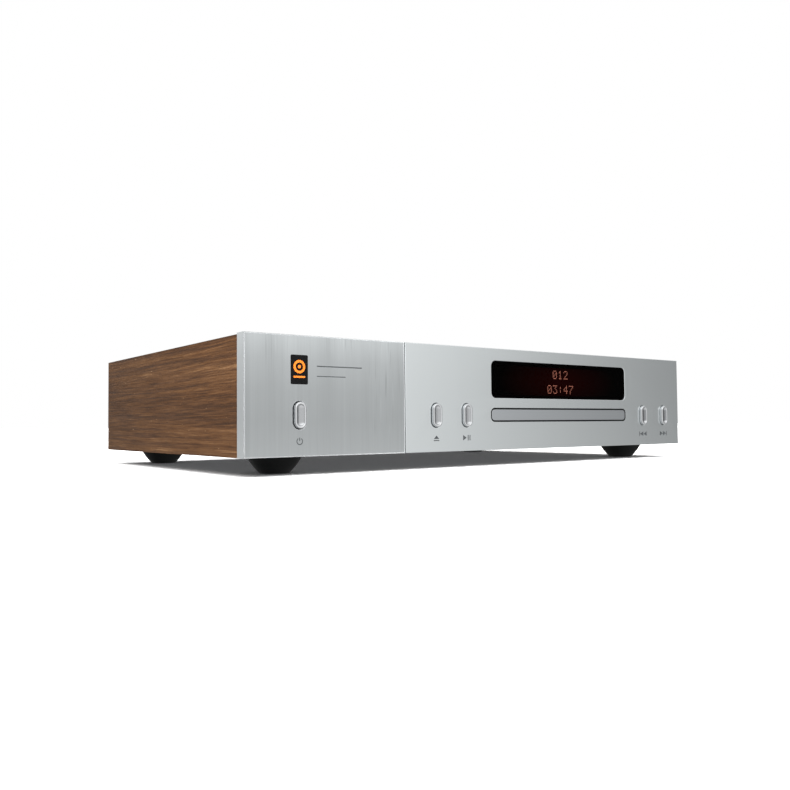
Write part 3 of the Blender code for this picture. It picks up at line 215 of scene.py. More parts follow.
class Shader(Nodes):
    """A material's nodes. Most calls return the socket that they make."""

    def __init__(self, name):
        self.material = bpy.data.materials.new(name)
        self.material.use_nodes = True
        super().__init__(self.material.node_tree)
        self.principled = self.tree.nodes["Principled BSDF"]
        self.place = self.add("ShaderNodeTexCoord").outputs["Object"]

    def set(self, **values):
        for key, value in values.items():
            self.put(self.principled.inputs[key.replace("_", " ")], value)

    def noise(self, scale, detail=2.0, rough=0.5, place=None):
        """Noise of a size given in features per metre: one number, or one for each axis."""
        scale = scale if isinstance(scale, tuple) else (scale,) * 3
        stretched = {"Vector": place or self.place, "Scale": scale}
        vector = self.add("ShaderNodeMapping", stretched).outputs[0]
        inputs = {"Vector": vector, "Scale": 1.0, "Detail": detail, "Roughness": rough}
        return self.add("ShaderNodeTexNoise", inputs).outputs[0]

    def span(self, value, low, high, to_low=0.0, to_high=1.0):
        inputs = {0: value, 1: low, 2: high, 3: to_low, 4: to_high}
        return self.add("ShaderNodeMapRange", inputs).outputs[0]

    def math(self, operation, first, second=0.0):
        return self.add("ShaderNodeMath", {0: first, 1: second}, operation=operation).outputs[0]

    def vector(self, operation, first, second=(0.0, 0.0, 0.0)):
        return self.add("ShaderNodeVectorMath", {0: first, 1: second}, operation=operation).outputs[0]

    def blend(self, *parts):
        """The sum of (value, weight) pairs."""
        total = None
        for value, weight in parts:
            value = self.math("MULTIPLY", value, weight)
            total = value if total is None else self.math("ADD", total, value)
        return total

    def mix(self, factor, first, second, blend="MIX"):
        inputs = {0: factor, 6: first, 7: second}
        return self.add("ShaderNodeMix", inputs, data_type="RGBA", blend_type=blend).outputs[2]

    def ramp(self, value, stops):
        """Colours, or numbers for greys, at shares of the value."""
        made = self.add("ShaderNodeValToRGB", {0: value})
        elements = made.color_ramp.elements
        while len(elements) < len(stops):
            elements.new(0.5)
        for element, (at, tone) in zip(elements, stops):
            element.position = at
            element.color = (*(tone if isinstance(tone, tuple) else (tone,) * 3), 1.0)
        return made.outputs[0]

    def bump(self, height, distance, strength=1.0):
        inputs = {"Height": height, "Distance": distance, "Strength": strength}
        self.set(Normal=self.add("ShaderNodeBump", inputs).outputs[0])


# The left plate's painted sheen and shade by height, from its lower edge to its top: (share of the way,
# factor)
LEFT_PAINTED_SHEEN = ((0.0, 1.02), (0.12, 0.97), (0.30, 0.92), (0.55, 0.96), (0.80, 1.08), (1.0, 1.30))
# The same from its outer end to the seam: painted shade near that end and painted sheen towards the seam.
# Then the tones of the painted highlights on its rounded edges along that way, and their strength
LEFT_PAINTED_SHADE_AND_SHEEN = ((0.005, 1.0), (0.009, 0.90), (0.035, 0.99), (0.5, 1.03), (1.0, 1.09))
EDGE_HIGHLIGHT_TONES = ((0.3, srgb(168, 170, 172)), (0.9, srgb(219, 222, 223)))
EDGE_HIGHLIGHT_STRENGTH = 0.85
# Scratches: strokes per metre, where their noise starts to show, and their tone
SCRATCHES = ((800.0, 0.66, 0.45), (620.0, 0.68, 1.45))
SCRATCH_PATCHES = 14.0

WALNUT_TONES = (
    (0.40, srgb(44, 28, 16)),
    (0.46, srgb(58, 38, 22)),
    (0.51, srgb(69, 47, 28)),
    (0.56, srgb(80, 57, 37)),
    (0.63, srgb(106, 82, 58)),
)
WALNUT_PORE = srgb(34, 22, 14)
WALNUT_FLECK = srgb(178, 148, 114)
TAPE_TONES = ((0.3, srgb(150, 112, 40)), (0.5, srgb(190, 150, 66)), (0.7, srgb(206, 172, 92)))


def shade(colour, factor):
    """A darker or lighter colour."""
    return tuple(min(1.0, c * factor) for c in colour)


def left_plate_painted_light(s, paint, band):
    """The left plate's paint with its painted sheen and shade by height and along its length, and the tone
    of the painted highlights on its rounded edges.
    """
    side, _, height = s.add("ShaderNodeSeparateXYZ", {0: s.place}).outputs
    # Painted sheen and shade by height, then painted shade and sheen along the plate's length
    wave = s.math("MULTIPLY", s.math("SUBTRACT", band, 0.5), 0.02)
    lift = s.ramp(s.span(s.math("ADD", height, wave), PANEL_BOTTOM, PANEL_TOP), LEFT_PAINTED_SHEEN)
    paint = s.mix(1.0, paint, lift, "MULTIPLY")
    share = s.span(side, LEFT_LO.x, LEFT_HI.x)
    paint = s.mix(1.0, paint, s.ramp(share, LEFT_PAINTED_SHADE_AND_SHEEN), "MULTIPLY")
    return paint, s.ramp(share, EDGE_HIGHLIGHT_TONES)


def brushed_metal(name, colour, along, roughness, contrast, spread, scratches=0.0, painted_light=False):
    """Metal with fine parallel strokes along one axis.

    spread: how far the strokes smear a reflection across themselves.
    painted_light: with the left plate's painted sheen and shade, and painted highlights on its rounded
    edges.
    """
    s = Shader(name)
    axis = "xyz".index(along)
    geometry = s.add("ShaderNodeNewGeometry").outputs

    def scale(across, lengthways):
        return tuple(lengthways if i == axis else across for i in range(3))

    hair = s.noise(scale(2600.0, 9.0), 2.0, 0.6)
    stroke = s.noise(scale(420.0, 9.0), 3.0, 0.6)
    band = s.noise(scale(70.0, 2.0), 3.0, 0.6)
    tone = s.blend((hair, 0.25), (stroke, 0.35), (band, 0.40))
    dark, light = shade(colour, 1.0 - contrast), shade(colour, 1.0 + contrast)
    paint = s.mix(s.span(tone, 0.36, 0.64), dark, light)
    if scratches:
        patch = s.span(s.noise(SCRATCH_PATCHES), 0.46, 0.62)
        for pitch, low, tint in SCRATCHES:
            line = s.span(s.noise(scale(pitch, 26.0), 1.0), low, low + 0.10, 0.0, scratches)
            paint = s.mix(s.math("MULTIPLY", line, patch), paint, shade(colour, tint))
    edge_highlight_tone = colour
    # Painted sheen, shade and edge highlights, on the left plate only
    if painted_light:
        paint, edge_highlight_tone = left_plate_painted_light(s, paint, band)
    # Rounded edges face neither straight ahead nor square to it
    facing = s.add("ShaderNodeSeparateXYZ", {0: geometry["True Normal"]}).outputs[1]
    square = s.math("MULTIPLY", facing, facing)
    edge = s.math("MULTIPLY", square, s.math("SUBTRACT", 1.0, square))
    # A painted highlight on the rounded edges: there the metal turns to a bright, less metallic tone
    edge_highlight = s.span(edge, 0.03, 0.12, 0.0, EDGE_HIGHLIGHT_STRENGTH if painted_light else 0.0)
    grain = tuple(1.0 if i == axis else 0.0 for i in range(3))
    across = s.vector("CROSS_PRODUCT", geometry["Normal"], grain)
    # Never zero, even where the surface faces along the strokes
    across = s.vector("ADD", across, (0.001, 0.001, 0.001))
    s.set(
        Base_Color=s.mix(edge_highlight, paint, edge_highlight_tone),
        Metallic=s.math("SUBTRACT", 1.0, edge_highlight),
        Roughness=s.span(stroke, 0.3, 0.7, roughness - 0.5 * contrast, roughness + 0.6 * contrast),
        Anisotropic=spread,
        Tangent=across,
    )
    s.bump(s.math("ADD", hair, s.math("MULTIPLY", stroke, 0.5)), 0.1 * contrast * MM, 0.4)
    return s.material


def satin_metal(name, colour, roughness, contrast=0.04, hollow_shade=None):
    """Blasted or drawn metal with a fine, even grain. hollow_shade: the tone of a painted shade where the
    mesh's attribute of that name is 1.
    """
    s = Shader(name)
    grain = s.noise(3000.0, 2.0, 0.6)
    cloud = s.noise(35.0, 3.0)
    tone = s.math("ADD", s.math("MULTIPLY", grain, 0.5), s.math("MULTIPLY", cloud, 0.5))
    dark, light = shade(colour, 1.0 - contrast), shade(colour, 1.0 + contrast)
    paint = s.mix(s.span(tone, 0.35, 0.65), dark, light)
    # Painted shade in the hollow, where the mesh's attribute says so
    if hollow_shade:
        inside = s.add("ShaderNodeAttribute", attribute_name="hollow_shade").outputs["Fac"]
        paint = s.mix(inside, paint, hollow_shade)
    matt = s.span(cloud, 0.3, 0.7, roughness - 0.04, roughness + 0.05)
    s.set(Base_Color=paint, Metallic=1.0, Roughness=matt)
    s.bump(grain, 0.006 * MM, 0.4)
    return s.material


def moulded(name, colour, roughness, grain=0.02, coat=0.0, specular=0.5):
    """Moulded plastic, rubber or paint: a pebbled surface, slightly dusty in its hollows."""
    s = Shader(name)
    pebble = s.noise(1800.0, 2.0, 0.55)
    dust = s.noise(60.0, 4.0, 0.6)
    s.set(
        Base_Color=s.mix(s.span(dust, 0.35, 0.75), shade(colour, 0.85), shade(colour, 1.35)),
        Roughness=s.span(dust, 0.3, 0.7, roughness - 0.06, roughness + 0.08),
        Specular_IOR_Level=specular,
        Coat_Weight=coat,
        Coat_Roughness=0.12,
    )
    s.bump(pebble, grain * MM, 0.5)
    return s.material


def walnut(name):
    """Oiled walnut veneer, its grain from front to rear."""
    s = Shader(name)
    drift = s.noise((12.0, 3.5, 12.0))
    sway = s.math("MULTIPLY", s.math("SUBTRACT", drift, 0.5), 0.005)
    lift = s.add("ShaderNodeCombineXYZ", {0: sway, 2: sway}).outputs[0]
    place = s.vector("ADD", s.place, lift)
    broad = s.noise((60.0, 1.6, 60.0), place=place)
    streak = s.noise((420.0, 7.0, 420.0), 4.0, 0.6, place)
    line = s.noise((1100.0, 20.0, 1100.0), 2.0, 0.6, place)
    fibre = s.noise((2600.0, 70.0, 2600.0), 2.0, 0.6, place)
    tone = s.blend((broad, 0.25), (streak, 0.29), (line, 0.30), (fibre, 0.16))
    pores = s.noise((2200.0, 90.0, 2200.0), 1.0, place=place)
    colour = s.mix(s.span(pores, 0.64, 0.76, 0.0, 0.6), s.ramp(tone, WALNUT_TONES), WALNUT_PORE)
    flecks = s.noise((1200.0, 180.0, 1200.0), 1.0, place=place)
    colour = s.mix(s.span(flecks, 0.76, 0.84, 0.0, 0.45), colour, WALNUT_FLECK)
    s.set(
        Base_Color=colour,
        Roughness=s.span(streak, 0.3, 0.7, 0.55, 0.70),
        Specular_IOR_Level=0.07,
    )
    relief = s.math("SUBTRACT", s.math("MULTIPLY", line, 0.8), s.span(pores, 0.64, 0.76, 0.0, 0.8))
    s.bump(relief, 0.05 * MM, 0.5)
    return s.material


def circuit_board(name):
    """Green lacquer over copper tracks."""
    s = Shader(name)
    pattern = {
        "Vector": s.place,
        "Color1": srgb(20, 92, 56),
        "Color2": srgb(16, 80, 48),
        "Mortar": srgb(44, 130, 78),
        "Scale": 160.0,
        "Mortar Size": 0.06,
    }
    tracks = s.add("ShaderNodeTexBrick", pattern).outputs[0]
    mottled = s.noise(90.0, 3.0, 0.6)
    s.set(
        Base_Color=s.mix(s.span(mottled, 0.3, 0.7, 0.0, 0.5), tracks, srgb(12, 62, 38)),
        Roughness=s.span(mottled, 0.3, 0.7, 0.28, 0.42),
        Coat_Weight=0.4,
    )
    s.bump(mottled, 0.01 * MM, 0.3)
    return s.material


def smoked_glass(name):
    """Dark red acrylic that dims what is behind it and mirrors a little of the room."""
    s = Shader(name)
    smear = s.noise(40.0, 3.0)
    tint = s.add("ShaderNodeBsdfTransparent", {"Color": srgb(122, 102, 99)}).outputs[0]
    polish = {"Color": (0.9, 0.9, 0.9), "Roughness": s.span(smear, 0.3, 0.7, 0.03, 0.07)}
    gloss = s.add("ShaderNodeBsdfGlossy", polish).outputs[0]
    facing = s.add("ShaderNodeFresnel", {"IOR": 1.07}).outputs[0]
    both = s.add("ShaderNodeMixShader", {0: facing, 1: tint, 2: gloss}).outputs[0]
    output = next(n for n in s.tree.nodes if n.type == "OUTPUT_MATERIAL")
    s.tree.links.new(both, output.inputs["Surface"])
    return s.material


def display_glow(name, centre, reach_w, reach_h):
    """The unlit display: black, with a faint red glow that fades away from its middle."""
    s = Shader(name)
    apart = s.vector("SUBTRACT", s.place, tuple(centre))
    scaled = s.vector("MULTIPLY", apart, (1 / reach_w, 0.0, 1 / reach_h))
    reach = s.add("ShaderNodeVectorMath", {0: scaled}, operation="LENGTH").outputs["Value"]
    grid = s.noise(900.0, 1.0)
    glow = s.math("MULTIPLY", s.span(reach, 1.0, 0.1, 0.0, 1.0), s.span(grid, 0.3, 0.7, 0.85, 1.15))
    s.set(
        Base_Color=s.mix(grid, srgb(9, 6, 6), srgb(14, 9, 9)),
        Roughness=0.5,
        Emission_Color=srgb(150, 20, 4),
        Emission_Strength=s.math("MULTIPLY", glow, 0.66),
    )
    return s.material


def lit_dots(name):
    """Warm white light that flickers a little from dot to dot."""
    s = Shader(name)
    flicker = s.noise(700.0, 1.0)
    s.set(
        Base_Color=srgb(60, 12, 4),
        Emission_Color=s.mix(flicker, srgb(255, 226, 200), srgb(255, 236, 214)),
        Emission_Strength=s.span(flicker, 0.3, 0.7, 19.0, 22.5),
    )
    return s.material


def printed_ink(name, colour):
    """Flat ink with a fine grain."""
    s = Shader(name)
    spread = s.noise(2500.0, 2.0, 0.6)
    s.set(Base_Color=s.mix(spread, shade(colour, 0.9), shade(colour, 1.15)), Roughness=0.55)
    s.bump(spread, 0.004 * MM, 0.3)
    return s.material


def capacitor_sleeve(name):
    """Shrink sleeve with its pale stripe."""
    s = Shader(name)
    bands = {"Vector": s.place, "Scale": 22.0, "Distortion": 0.0}
    wave = s.add("ShaderNodeTexWave", bands, bands_direction="X")
    dust = s.noise(80.0, 3.0, 0.6)
    stripe = s.span(wave.outputs[1], 0.93, 0.95)
    colour = s.mix(stripe, s.mix(dust, srgb(26, 34, 66), srgb(34, 44, 82)), srgb(170, 176, 186))
    s.set(Base_Color=colour, Roughness=s.span(dust, 0.3, 0.7, 0.28, 0.4), Coat_Weight=0.3)
    return s.material


def wound_tape(name):
    """Yellow polyester tape wound round the transformer."""
    s = Shader(name)
    turns = s.noise((260.0, 260.0, 25.0), 3.0, 0.6)
    s.set(Base_Color=s.ramp(turns, TAPE_TONES), Roughness=0.4, Coat_Weight=0.35)
    s.bump(turns, 0.08 * MM, 0.6)
    return s.material


def ribbon_material(name):
    """Parallel conductors under a grey skin."""
    s = Shader(name)
    lines = s.add("ShaderNodeTexWave", {"Vector": s.place, "Scale": 250.0}, bands_direction="X").outputs[1]
    s.set(Base_Color=s.mix(lines, srgb(120, 122, 126), srgb(168, 170, 174)), Roughness=0.5)
    s.bump(lines, 0.1 * MM, 0.6)
    return s.material


MATERIALS = {
    "front_left": brushed_metal(
        "front_left", srgb(187, 191, 192), "z", roughness=0.32, contrast=0.06, spread=0.7,
        scratches=0.5, painted_light=True,
    ),
    "brushed_aluminium": brushed_metal(
        "brushed_aluminium", srgb(222, 227, 228), "z", roughness=0.25, contrast=0.006, spread=0.0
    ),
    # The buttons' metal; its last colour is a painted shade in their hollows
    "button_aluminium": satin_metal(
        "button_aluminium", srgb(218, 220, 222), roughness=0.22, contrast=0.02, hollow_shade=srgb(150, 152, 154)
    ),
    "bezel_aluminium": brushed_metal(
        "bezel_aluminium", srgb(190, 194, 197), "x", roughness=0.30, contrast=0.02, spread=0.5
    ),
    "walnut_veneer": walnut("walnut_veneer"),
    "foot_rubber": moulded("foot_rubber", srgb(9, 10, 10), 0.6, grain=0.015, specular=0.14),
    "badge_black": moulded("badge_black", srgb(10, 10, 11), 0.4, grain=0.004, specular=0.12),
    "badge_orange": printed_ink("badge_orange", srgb(255, 128, 0)),
    "print": printed_ink("print", srgb(66, 70, 72)),
    "smoked_acrylic": smoked_glass("smoked_acrylic"),
    "display_dots": lit_dots("display_dots"),
    "zinc_plated_steel": brushed_metal(
        "zinc_plated_steel", srgb(137, 138, 140), "x", roughness=0.38, contrast=0.05, spread=0.3
    ),
    "black_painted_steel": moulded("black_painted_steel", srgb(28, 29, 30), 0.5, grain=0.03),
    "bright_steel": satin_metal("bright_steel", srgb(214, 214, 216), roughness=0.2),
    "black_plastic": moulded("black_plastic", srgb(30, 31, 33), 0.48),
    "white_gear_plastic": moulded("white_gear_plastic", srgb(214, 212, 204), 0.4, grain=0.01),
    "grey_plastic": moulded("grey_plastic", srgb(96, 97, 100), 0.45, grain=0.015),
    "belt_rubber": moulded("belt_rubber", srgb(22, 22, 22), 0.7),
    "circuit_board": circuit_board("circuit_board"),
    "capacitor_sleeve": capacitor_sleeve("capacitor_sleeve"),
    "transformer_wrap": wound_tape("transformer_wrap"),
    "lens_holder": moulded("lens_holder", srgb(50, 52, 74), 0.12, grain=0.002, coat=0.8),
    "jack_gold": satin_metal("jack_gold", srgb(232, 196, 120), roughness=0.22),
    "anodised_heat_sink": brushed_metal(
        "anodised_heat_sink", srgb(46, 47, 50), "z", roughness=0.4, contrast=0.08, spread=0.4
    ),
    "ribbon_cable_grey": ribbon_material("ribbon_cable_grey"),
}


# ---------------------------------------------------------------- outlines and solids


def arc(centre, radius, start, end, steps):
    """Points along an arc, both ends included."""
    angles = [start + (end - start) * step / steps for step in range(steps + 1)]
    return [(centre[0] + radius * math.cos(a), centre[1] + radius * math.sin(a)) for a in angles]


def circle(centre, radius, steps=64):
    """Points round a circle, none of them twice."""
    return arc(centre, radius, 0.0, 2 * math.pi, steps)[:-1]


def rounded(u, v, radius, steps=14):
    """A rectangle between two limits along each axis, its corners rounded."""
    if radius <= 0:
        return [(u[0], v[0]), (u[1], v[0]), (u[1], v[1]), (u[0], v[1])]
    points = []
    for at_u, at_v, turn in ((1, 0, -0.5), (1, 1, 0.0), (0, 1, 0.5), (0, 0, 1.0)):
        centre = (u[at_u] - radius * (1 if at_u else -1), v[at_v] - radius * (1 if at_v else -1))
        points += arc(centre, radius, turn * math.pi, (turn + 0.5) * math.pi, steps)
    kept = []
    # Round ends that meet leave two points in one place
    for point in points:
        if not kept or (math.dist(point, kept[-1]) > 1e-7 and math.dist(point, kept[0]) > 1e-7):
            kept.append(point)
    return kept


def add_piece(name, mesh, body, material, slot, replaced=()):
    """A finished mesh, in the CAD's frame, that rides on a body. slot: not used."""
    mesh.materials.clear()
    mesh.materials.append(MATERIALS[material])
    obj = bpy.data.objects.new(name, mesh)
    bpy.context.scene.collection.objects.link(obj)
    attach(obj, body)
    if replaced:
        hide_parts(*replaced)
    return obj


def smooth(obj, angle=40.0):
    """Smooth shading that keeps flat faces flat and edges over the angle sharp."""
    obj.data.shade_smooth()
    obj.data.set_sharp_from_angle(angle=math.radians(angle))
    weighted = obj.modifiers.new("Even shading", "WEIGHTED_NORMAL")
    weighted.keep_sharp = True
    weighted.weight = 100


def slab(name, outlines, depth, edge=0.0, rounds=2):
    """A sheet that faces the front: outlines in (x, z), the first its edge and the others holes."""
    curve = bpy.data.curves.new(name, "CURVE")
    curve.dimensions = "2D"
    curve.fill_mode = "BOTH"
    curve.extrude = (depth[1] - depth[0]) / 2 - edge
    curve.bevel_depth = edge
    curve.bevel_resolution = rounds
    curve.offset = -edge
    for outline in outlines:
        spline = curve.splines.new("POLY")
        spline.points.add(len(outline) - 1)
        for point, (u, v) in zip(spline.points, outline):
            point.co = (u, v, 0.0, 1.0)
        spline.use_cyclic_u = True
    guide = bpy.data.objects.new(name, curve)
    bpy.context.scene.collection.objects.link(guide)
    graph = bpy.context.evaluated_depsgraph_get()
    mesh = bpy.data.meshes.new_from_object(guide.evaluated_get(graph))
    bpy.data.objects.remove(guide)
    bpy.data.curves.remove(curve)
    made = bmesh.new()
    made.from_mesh(mesh)
    for vertex in made.verts:
        x, z, back = vertex.co
        vertex.co = (x, sum(depth) / 2 - back, z)
    bmesh.ops.remove_doubles(made, verts=made.verts, dist=1e-7)
    bmesh.ops.recalc_face_normals(made, faces=made.faces)
    made.to_mesh(mesh)
    made.free()
    return mesh


def turned(name, centre, profile, steps=96):
    """A solid turned about an upright axis: (radius, height) from the top down."""
    mesh = bpy.data.meshes.new(name)
    made = bmesh.new()
    verts = [made.verts.new((radius, 0.0, height)) for radius, height in profile]
    edges = [made.edges.new(pair) for pair in zip(verts, verts[1:])]
    turn = {"cent": (0, 0, 0), "axis": (0, 0, 1), "angle": 2 * math.pi, "steps": steps}
    bmesh.ops.spin(made, geom=verts + edges, **turn)
    bmesh.ops.remove_doubles(made, verts=made.verts, dist=1e-7)
    bmesh.ops.recalc_face_normals(made, faces=made.faces)
    bmesh.ops.translate(made, verts=made.verts, vec=centre)
    made.to_mesh(mesh)
    made.free()
    return mesh


def upright_ring(centre, half_w, half_h, steps):
    """Points round an upright, round-ended outline, in (x, z)."""
    straight = half_h - half_w
    upper = arc((centre[0], centre[1] + straight), half_w, 0.0, math.pi, steps)
    lower = arc((centre[0], centre[1] - straight), half_w, math.pi, 2 * math.pi, steps)
    return upper + lower


def lofted(name, rings):
    """A closed form through rings of equal point counts: (outline, depth), back to front."""
    mesh = bpy.data.meshes.new(name)
    made = bmesh.new()
    rows = [[made.verts.new((x, y, z)) for x, z in outline] for outline, y in rings]
    for first, second in zip(rows, rows[1:]):
        for i in range(len(first)):
            j = (i + 1) % len(first)
            made.faces.new((first[i], first[j], second[j], second[i]))
    made.faces.new(rows[0])
    made.faces.new(rows[-1])
    bmesh.ops.remove_doubles(made, verts=made.verts, dist=1e-7)
    bmesh.ops.dissolve_degenerate(made, edges=made.edges, dist=1e-7)
    bmesh.ops.recalc_face_normals(made, faces=made.faces)
    made.to_mesh(mesh)
    made.free()
    return mesh


# ---------------------------------------------------------------- front


def cap_of(button):
    """The middle (x, z) and half sizes of a button's cap, inside its flange."""
    lo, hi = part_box(button)
    half_w = (hi.x - lo.x) / 2 - BUTTON_FLANGE
    half_h = (hi.z - lo.z) / 2 - BUTTON_FLANGE
    return ((lo.x + hi.x) / 2, (lo.z + hi.z) / 2), half_w, half_h


def slot_outline(button):
    """The round-ended slot that a button's cap moves in."""
    centre, half_w, half_h = cap_of(button)
    reach_w, reach_h = half_w + BUTTON_GAP, half_h + BUTTON_GAP
    u = (centre[0] - reach_w, centre[0] + reach_w)
    v = (centre[1] - reach_h, centre[1] + reach_h)
    return rounded(u, v, reach_w)


def inset_box(node, inset):
    """A node's (x limits, z limits), drawn in by an inset, or out by a negative one."""
    lo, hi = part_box(node)
    return (lo.x + inset, hi.x - inset), (lo.z + inset, hi.z - inset)


def front_plates():
    """The two plates. The left one's rounded edge is wider at the seam."""
    depth = (FRONT_Y, PANEL_BACK)
    outline = rounded((LEFT_LO.x, LEFT_HI.x), (LEFT_LO.z, LEFT_HI.z), 0.0)
    mesh = slab("front_plate_left", [outline, slot_outline("power_button")], depth, LEFT_EDGE)
    for vertex in mesh.vertices:
        inwards = LEFT_HI.x - vertex.co.x
        # Only the edge's own points, with a margin for rounding
        if inwards < 1.05 * LEFT_EDGE:
            vertex.co.x = LEFT_HI.x - inwards * SEAM_SPREAD
    replaced = ("front_panel_left",)
    smooth(add_piece("front_plate_left", mesh, "cabinet", "front_left", "brushed_aluminium", replaced))
    outlines = [rounded((RIGHT_LO.x, RIGHT_HI.x), (RIGHT_LO.z, RIGHT_HI.z), 0.0)]
    outlines += [slot_outline(button) for button in BUTTONS[1:]]
    outlines.append(rounded(*inset_box("display_window", WINDOW_FLANGE), WINDOW_CORNER))
    outlines.append(rounded(*inset_box("tray_bezel", -SLOT_GAP), SLOT_CORNER))
    mesh = slab("front_plate_right", outlines, depth, RIGHT_EDGE)
    replaced = ("front_panel_right",)
    smooth(
        add_piece("front_plate_right", mesh, "cabinet", "brushed_aluminium", "brushed_aluminium", replaced)
    )


def cap_rings(front, half_w):
    """A cap's (inset, depth) rings: its straight side, round shoulder, flat rim and hollow."""
    rings = [(0.0, PANEL_BACK), (0.0, front + CAP_SHOULDER)]
    for step in range(1, CAP_SHOULDER_STEPS + 1):
        turn = math.pi / 2 * step / CAP_SHOULDER_STEPS
        rings.append((CAP_SHOULDER * (1 - math.cos(turn)), front + CAP_SHOULDER * (1 - math.sin(turn))))
    edge = CAP_SHOULDER + CAP_RIM
    rings.append((edge, front))
    across = half_w - edge - HAIR
    for step in range(1, CAP_HOLLOW_STEPS + 1):
        share = step / CAP_HOLLOW_STEPS
        drop = CAP_HOLLOW * (1 - (1 - share) ** CAP_HOLLOW_POWER)
        rings.append((edge + across * share, front + drop))
    return rings


def paint_hollow_shade(cap, button):
    """Fills the attribute of painted shade that the cap's material reads: high in the hollow, lower at its
    ends.
    """
    centre, half_w, half_h = cap_of(button)
    hollow_w = half_w - CAP_SHOULDER - CAP_RIM - HAIR / 2
    strength = HOLLOW_SHADE_SKIP if "skip" in button else HOLLOW_SHADE
    hollow_shade = cap.data.attributes.new("hollow_shade", "FLOAT", "POINT")
    for vertex, value in zip(cap.data.vertices, hollow_shade.data):
        x, y, z = vertex.co
        past_end = max(0.0, abs(z - centre[1]) - (half_h - half_w))
        # In the hollow and not on the cap's back
        inside = math.hypot(x - centre[0], past_end) < hollow_w and y < PANEL_BACK - 1.0 * MM
        # Painted shade, full along the hollow and fading towards its ends
        value.value = strength * max(HOLLOW_SHADE_END, 1.0 - past_end / HOLLOW_SHADE_FADE) if inside else 0.0


def button_cap(button):
    """A round-ended cap with a long hollow down its middle, its flange and its stem."""
    metal = (BODY_OF[button], "button_aluminium", "button_aluminium")
    centre, half_w, half_h = cap_of(button)
    lo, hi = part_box(button)
    rings = []
    for inset, y in cap_rings(lo.y, half_w):
        rings.append((upright_ring(centre, half_w - inset, half_h - inset, CAP_OUTLINE_STEPS), y))
    cap = add_piece(button + "_cap", lofted(button + "_cap", rings), *metal, (button,))
    cap.data.shade_smooth()
    cap.data.set_sharp_from_angle(angle=CAP_SHARP)
    paint_hollow_shade(cap, button)
    outline = upright_ring(centre, half_w + BUTTON_FLANGE, half_h + BUTTON_FLANGE, steps=16)
    depth = [PANEL_BACK + behind for behind in BUTTON_FLANGE_DEPTH]
    smooth(add_piece(button + "_flange", slab(button + "_flange", [outline], depth, SMALL_EDGE), *metal))
    stem = slab(button + "_stem", [circle(centre, STEM_R, steps=32)], (PANEL_BACK, hi.y), SMALL_EDGE)
    smooth(add_piece(button + "_stem", stem, *metal))


def badge():
    """A black plate with a plain orange ring and hub over a short line."""
    lo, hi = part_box("badge_plate")
    outline = rounded(*inset_box("badge_plate", 0.0), BADGE_CORNER - BADGE_GAP, steps=8)
    plate = slab("badge_face", [outline], (lo.y, hi.y), BADGE_EDGE)
    smooth(add_piece("badge_face", plate, "cabinet", "badge_black", "badge_black", ("badge_plate",)))
    x, z = (lo.x + hi.x) / 2, lo.z + (hi.z - lo.z) * BADGE_MIDDLE
    low, reach = z - BADGE_LINE_DROP, BADGE_RING_R[0]
    line = rounded((x - reach, x + reach), (low, low + BADGE_LINE_H), BADGE_LINE_H / 2, steps=6)
    signs = {
        "badge_disc": [circle((x, z), radius) for radius in BADGE_RING_R],
        "badge_hub": [circle((x, z), BADGE_HUB_R, steps=32)],
        "badge_line": [line],
    }
    depth = [lo.y + behind for behind in BADGE_SIGN_DEPTH]
    for name, outlines in signs.items():
        add_piece(name, slab(name, outlines, depth), "cabinet", "badge_orange", "badge_black")


def print_mark(name, outlines):
    """Ink on the front plates."""
    depth = (FRONT_Y - PRINT_PROUD, FRONT_Y + PRINT_PROUD)
    add_piece(name, slab(name, outlines, depth), "cabinet", "print", "badge_black")


def triangle(x, z, width, height):
    """A triangle that points along +x, or along -x for a negative width."""
    return [(x, z - height / 2), (x + width, z), (x, z + height / 2)]


def bar(x, z, width, height):
    """A rectangle about its middle."""
    return rounded((x - width / 2, x + width / 2), (z - height / 2, z + height / 2), 0.0)


def power_mark(x, z, size):
    """A broken ring with an upright bar in its gap."""
    radius, line, opening = size / 2, size * 0.13, math.radians(32)
    start, end = math.pi / 2 + opening, 5 * math.pi / 2 - opening
    outer = arc((x, z), radius, start, end, steps=32)
    inner = arc((x, z), radius - line, end, start, steps=32)
    print_mark("mark_power_ring", [outer + inner])
    print_mark("mark_power_bar", [bar(x, z + radius * 0.55, line, radius * 0.95)])


def eject_mark(x, z, size):
    """A triangle that points up, over a bar."""
    half, low = size * 0.62, z - size * 0.12
    print_mark("mark_eject_arrow", [[(x - half, low), (x + half, low), (x, z + size / 2)]])
    print_mark("mark_eject_bar", [bar(x, z - size * 0.40, 2 * half, MARK_LINE)])


def play_pause_mark(x, z, size):
    """A triangle and two upright bars."""
    print_mark("mark_play", [triangle(x - size * 0.95, z, size * 0.85, size)])
    for name, share in (("mark_pause_left", 0.28), ("mark_pause_right", 0.72)):
        print_mark(name, [bar(x + size * share, z, MARK_LINE * 1.15, size)])


def skip_mark(name, x, z, size, way):
    """Two triangles against an upright bar. way: -1 for back, 1 for forward."""
    for place, start in (("_first", 1.3), ("_second", 0.1)):
        print_mark(name + place, [triangle(x - way * size * start, z, way * size * 1.15, size)])
    at = x + way * (size * 1.1 + MARK_LINE * 0.6)
    print_mark(name + "_bar", [bar(at, z, MARK_LINE * 1.3, size)])


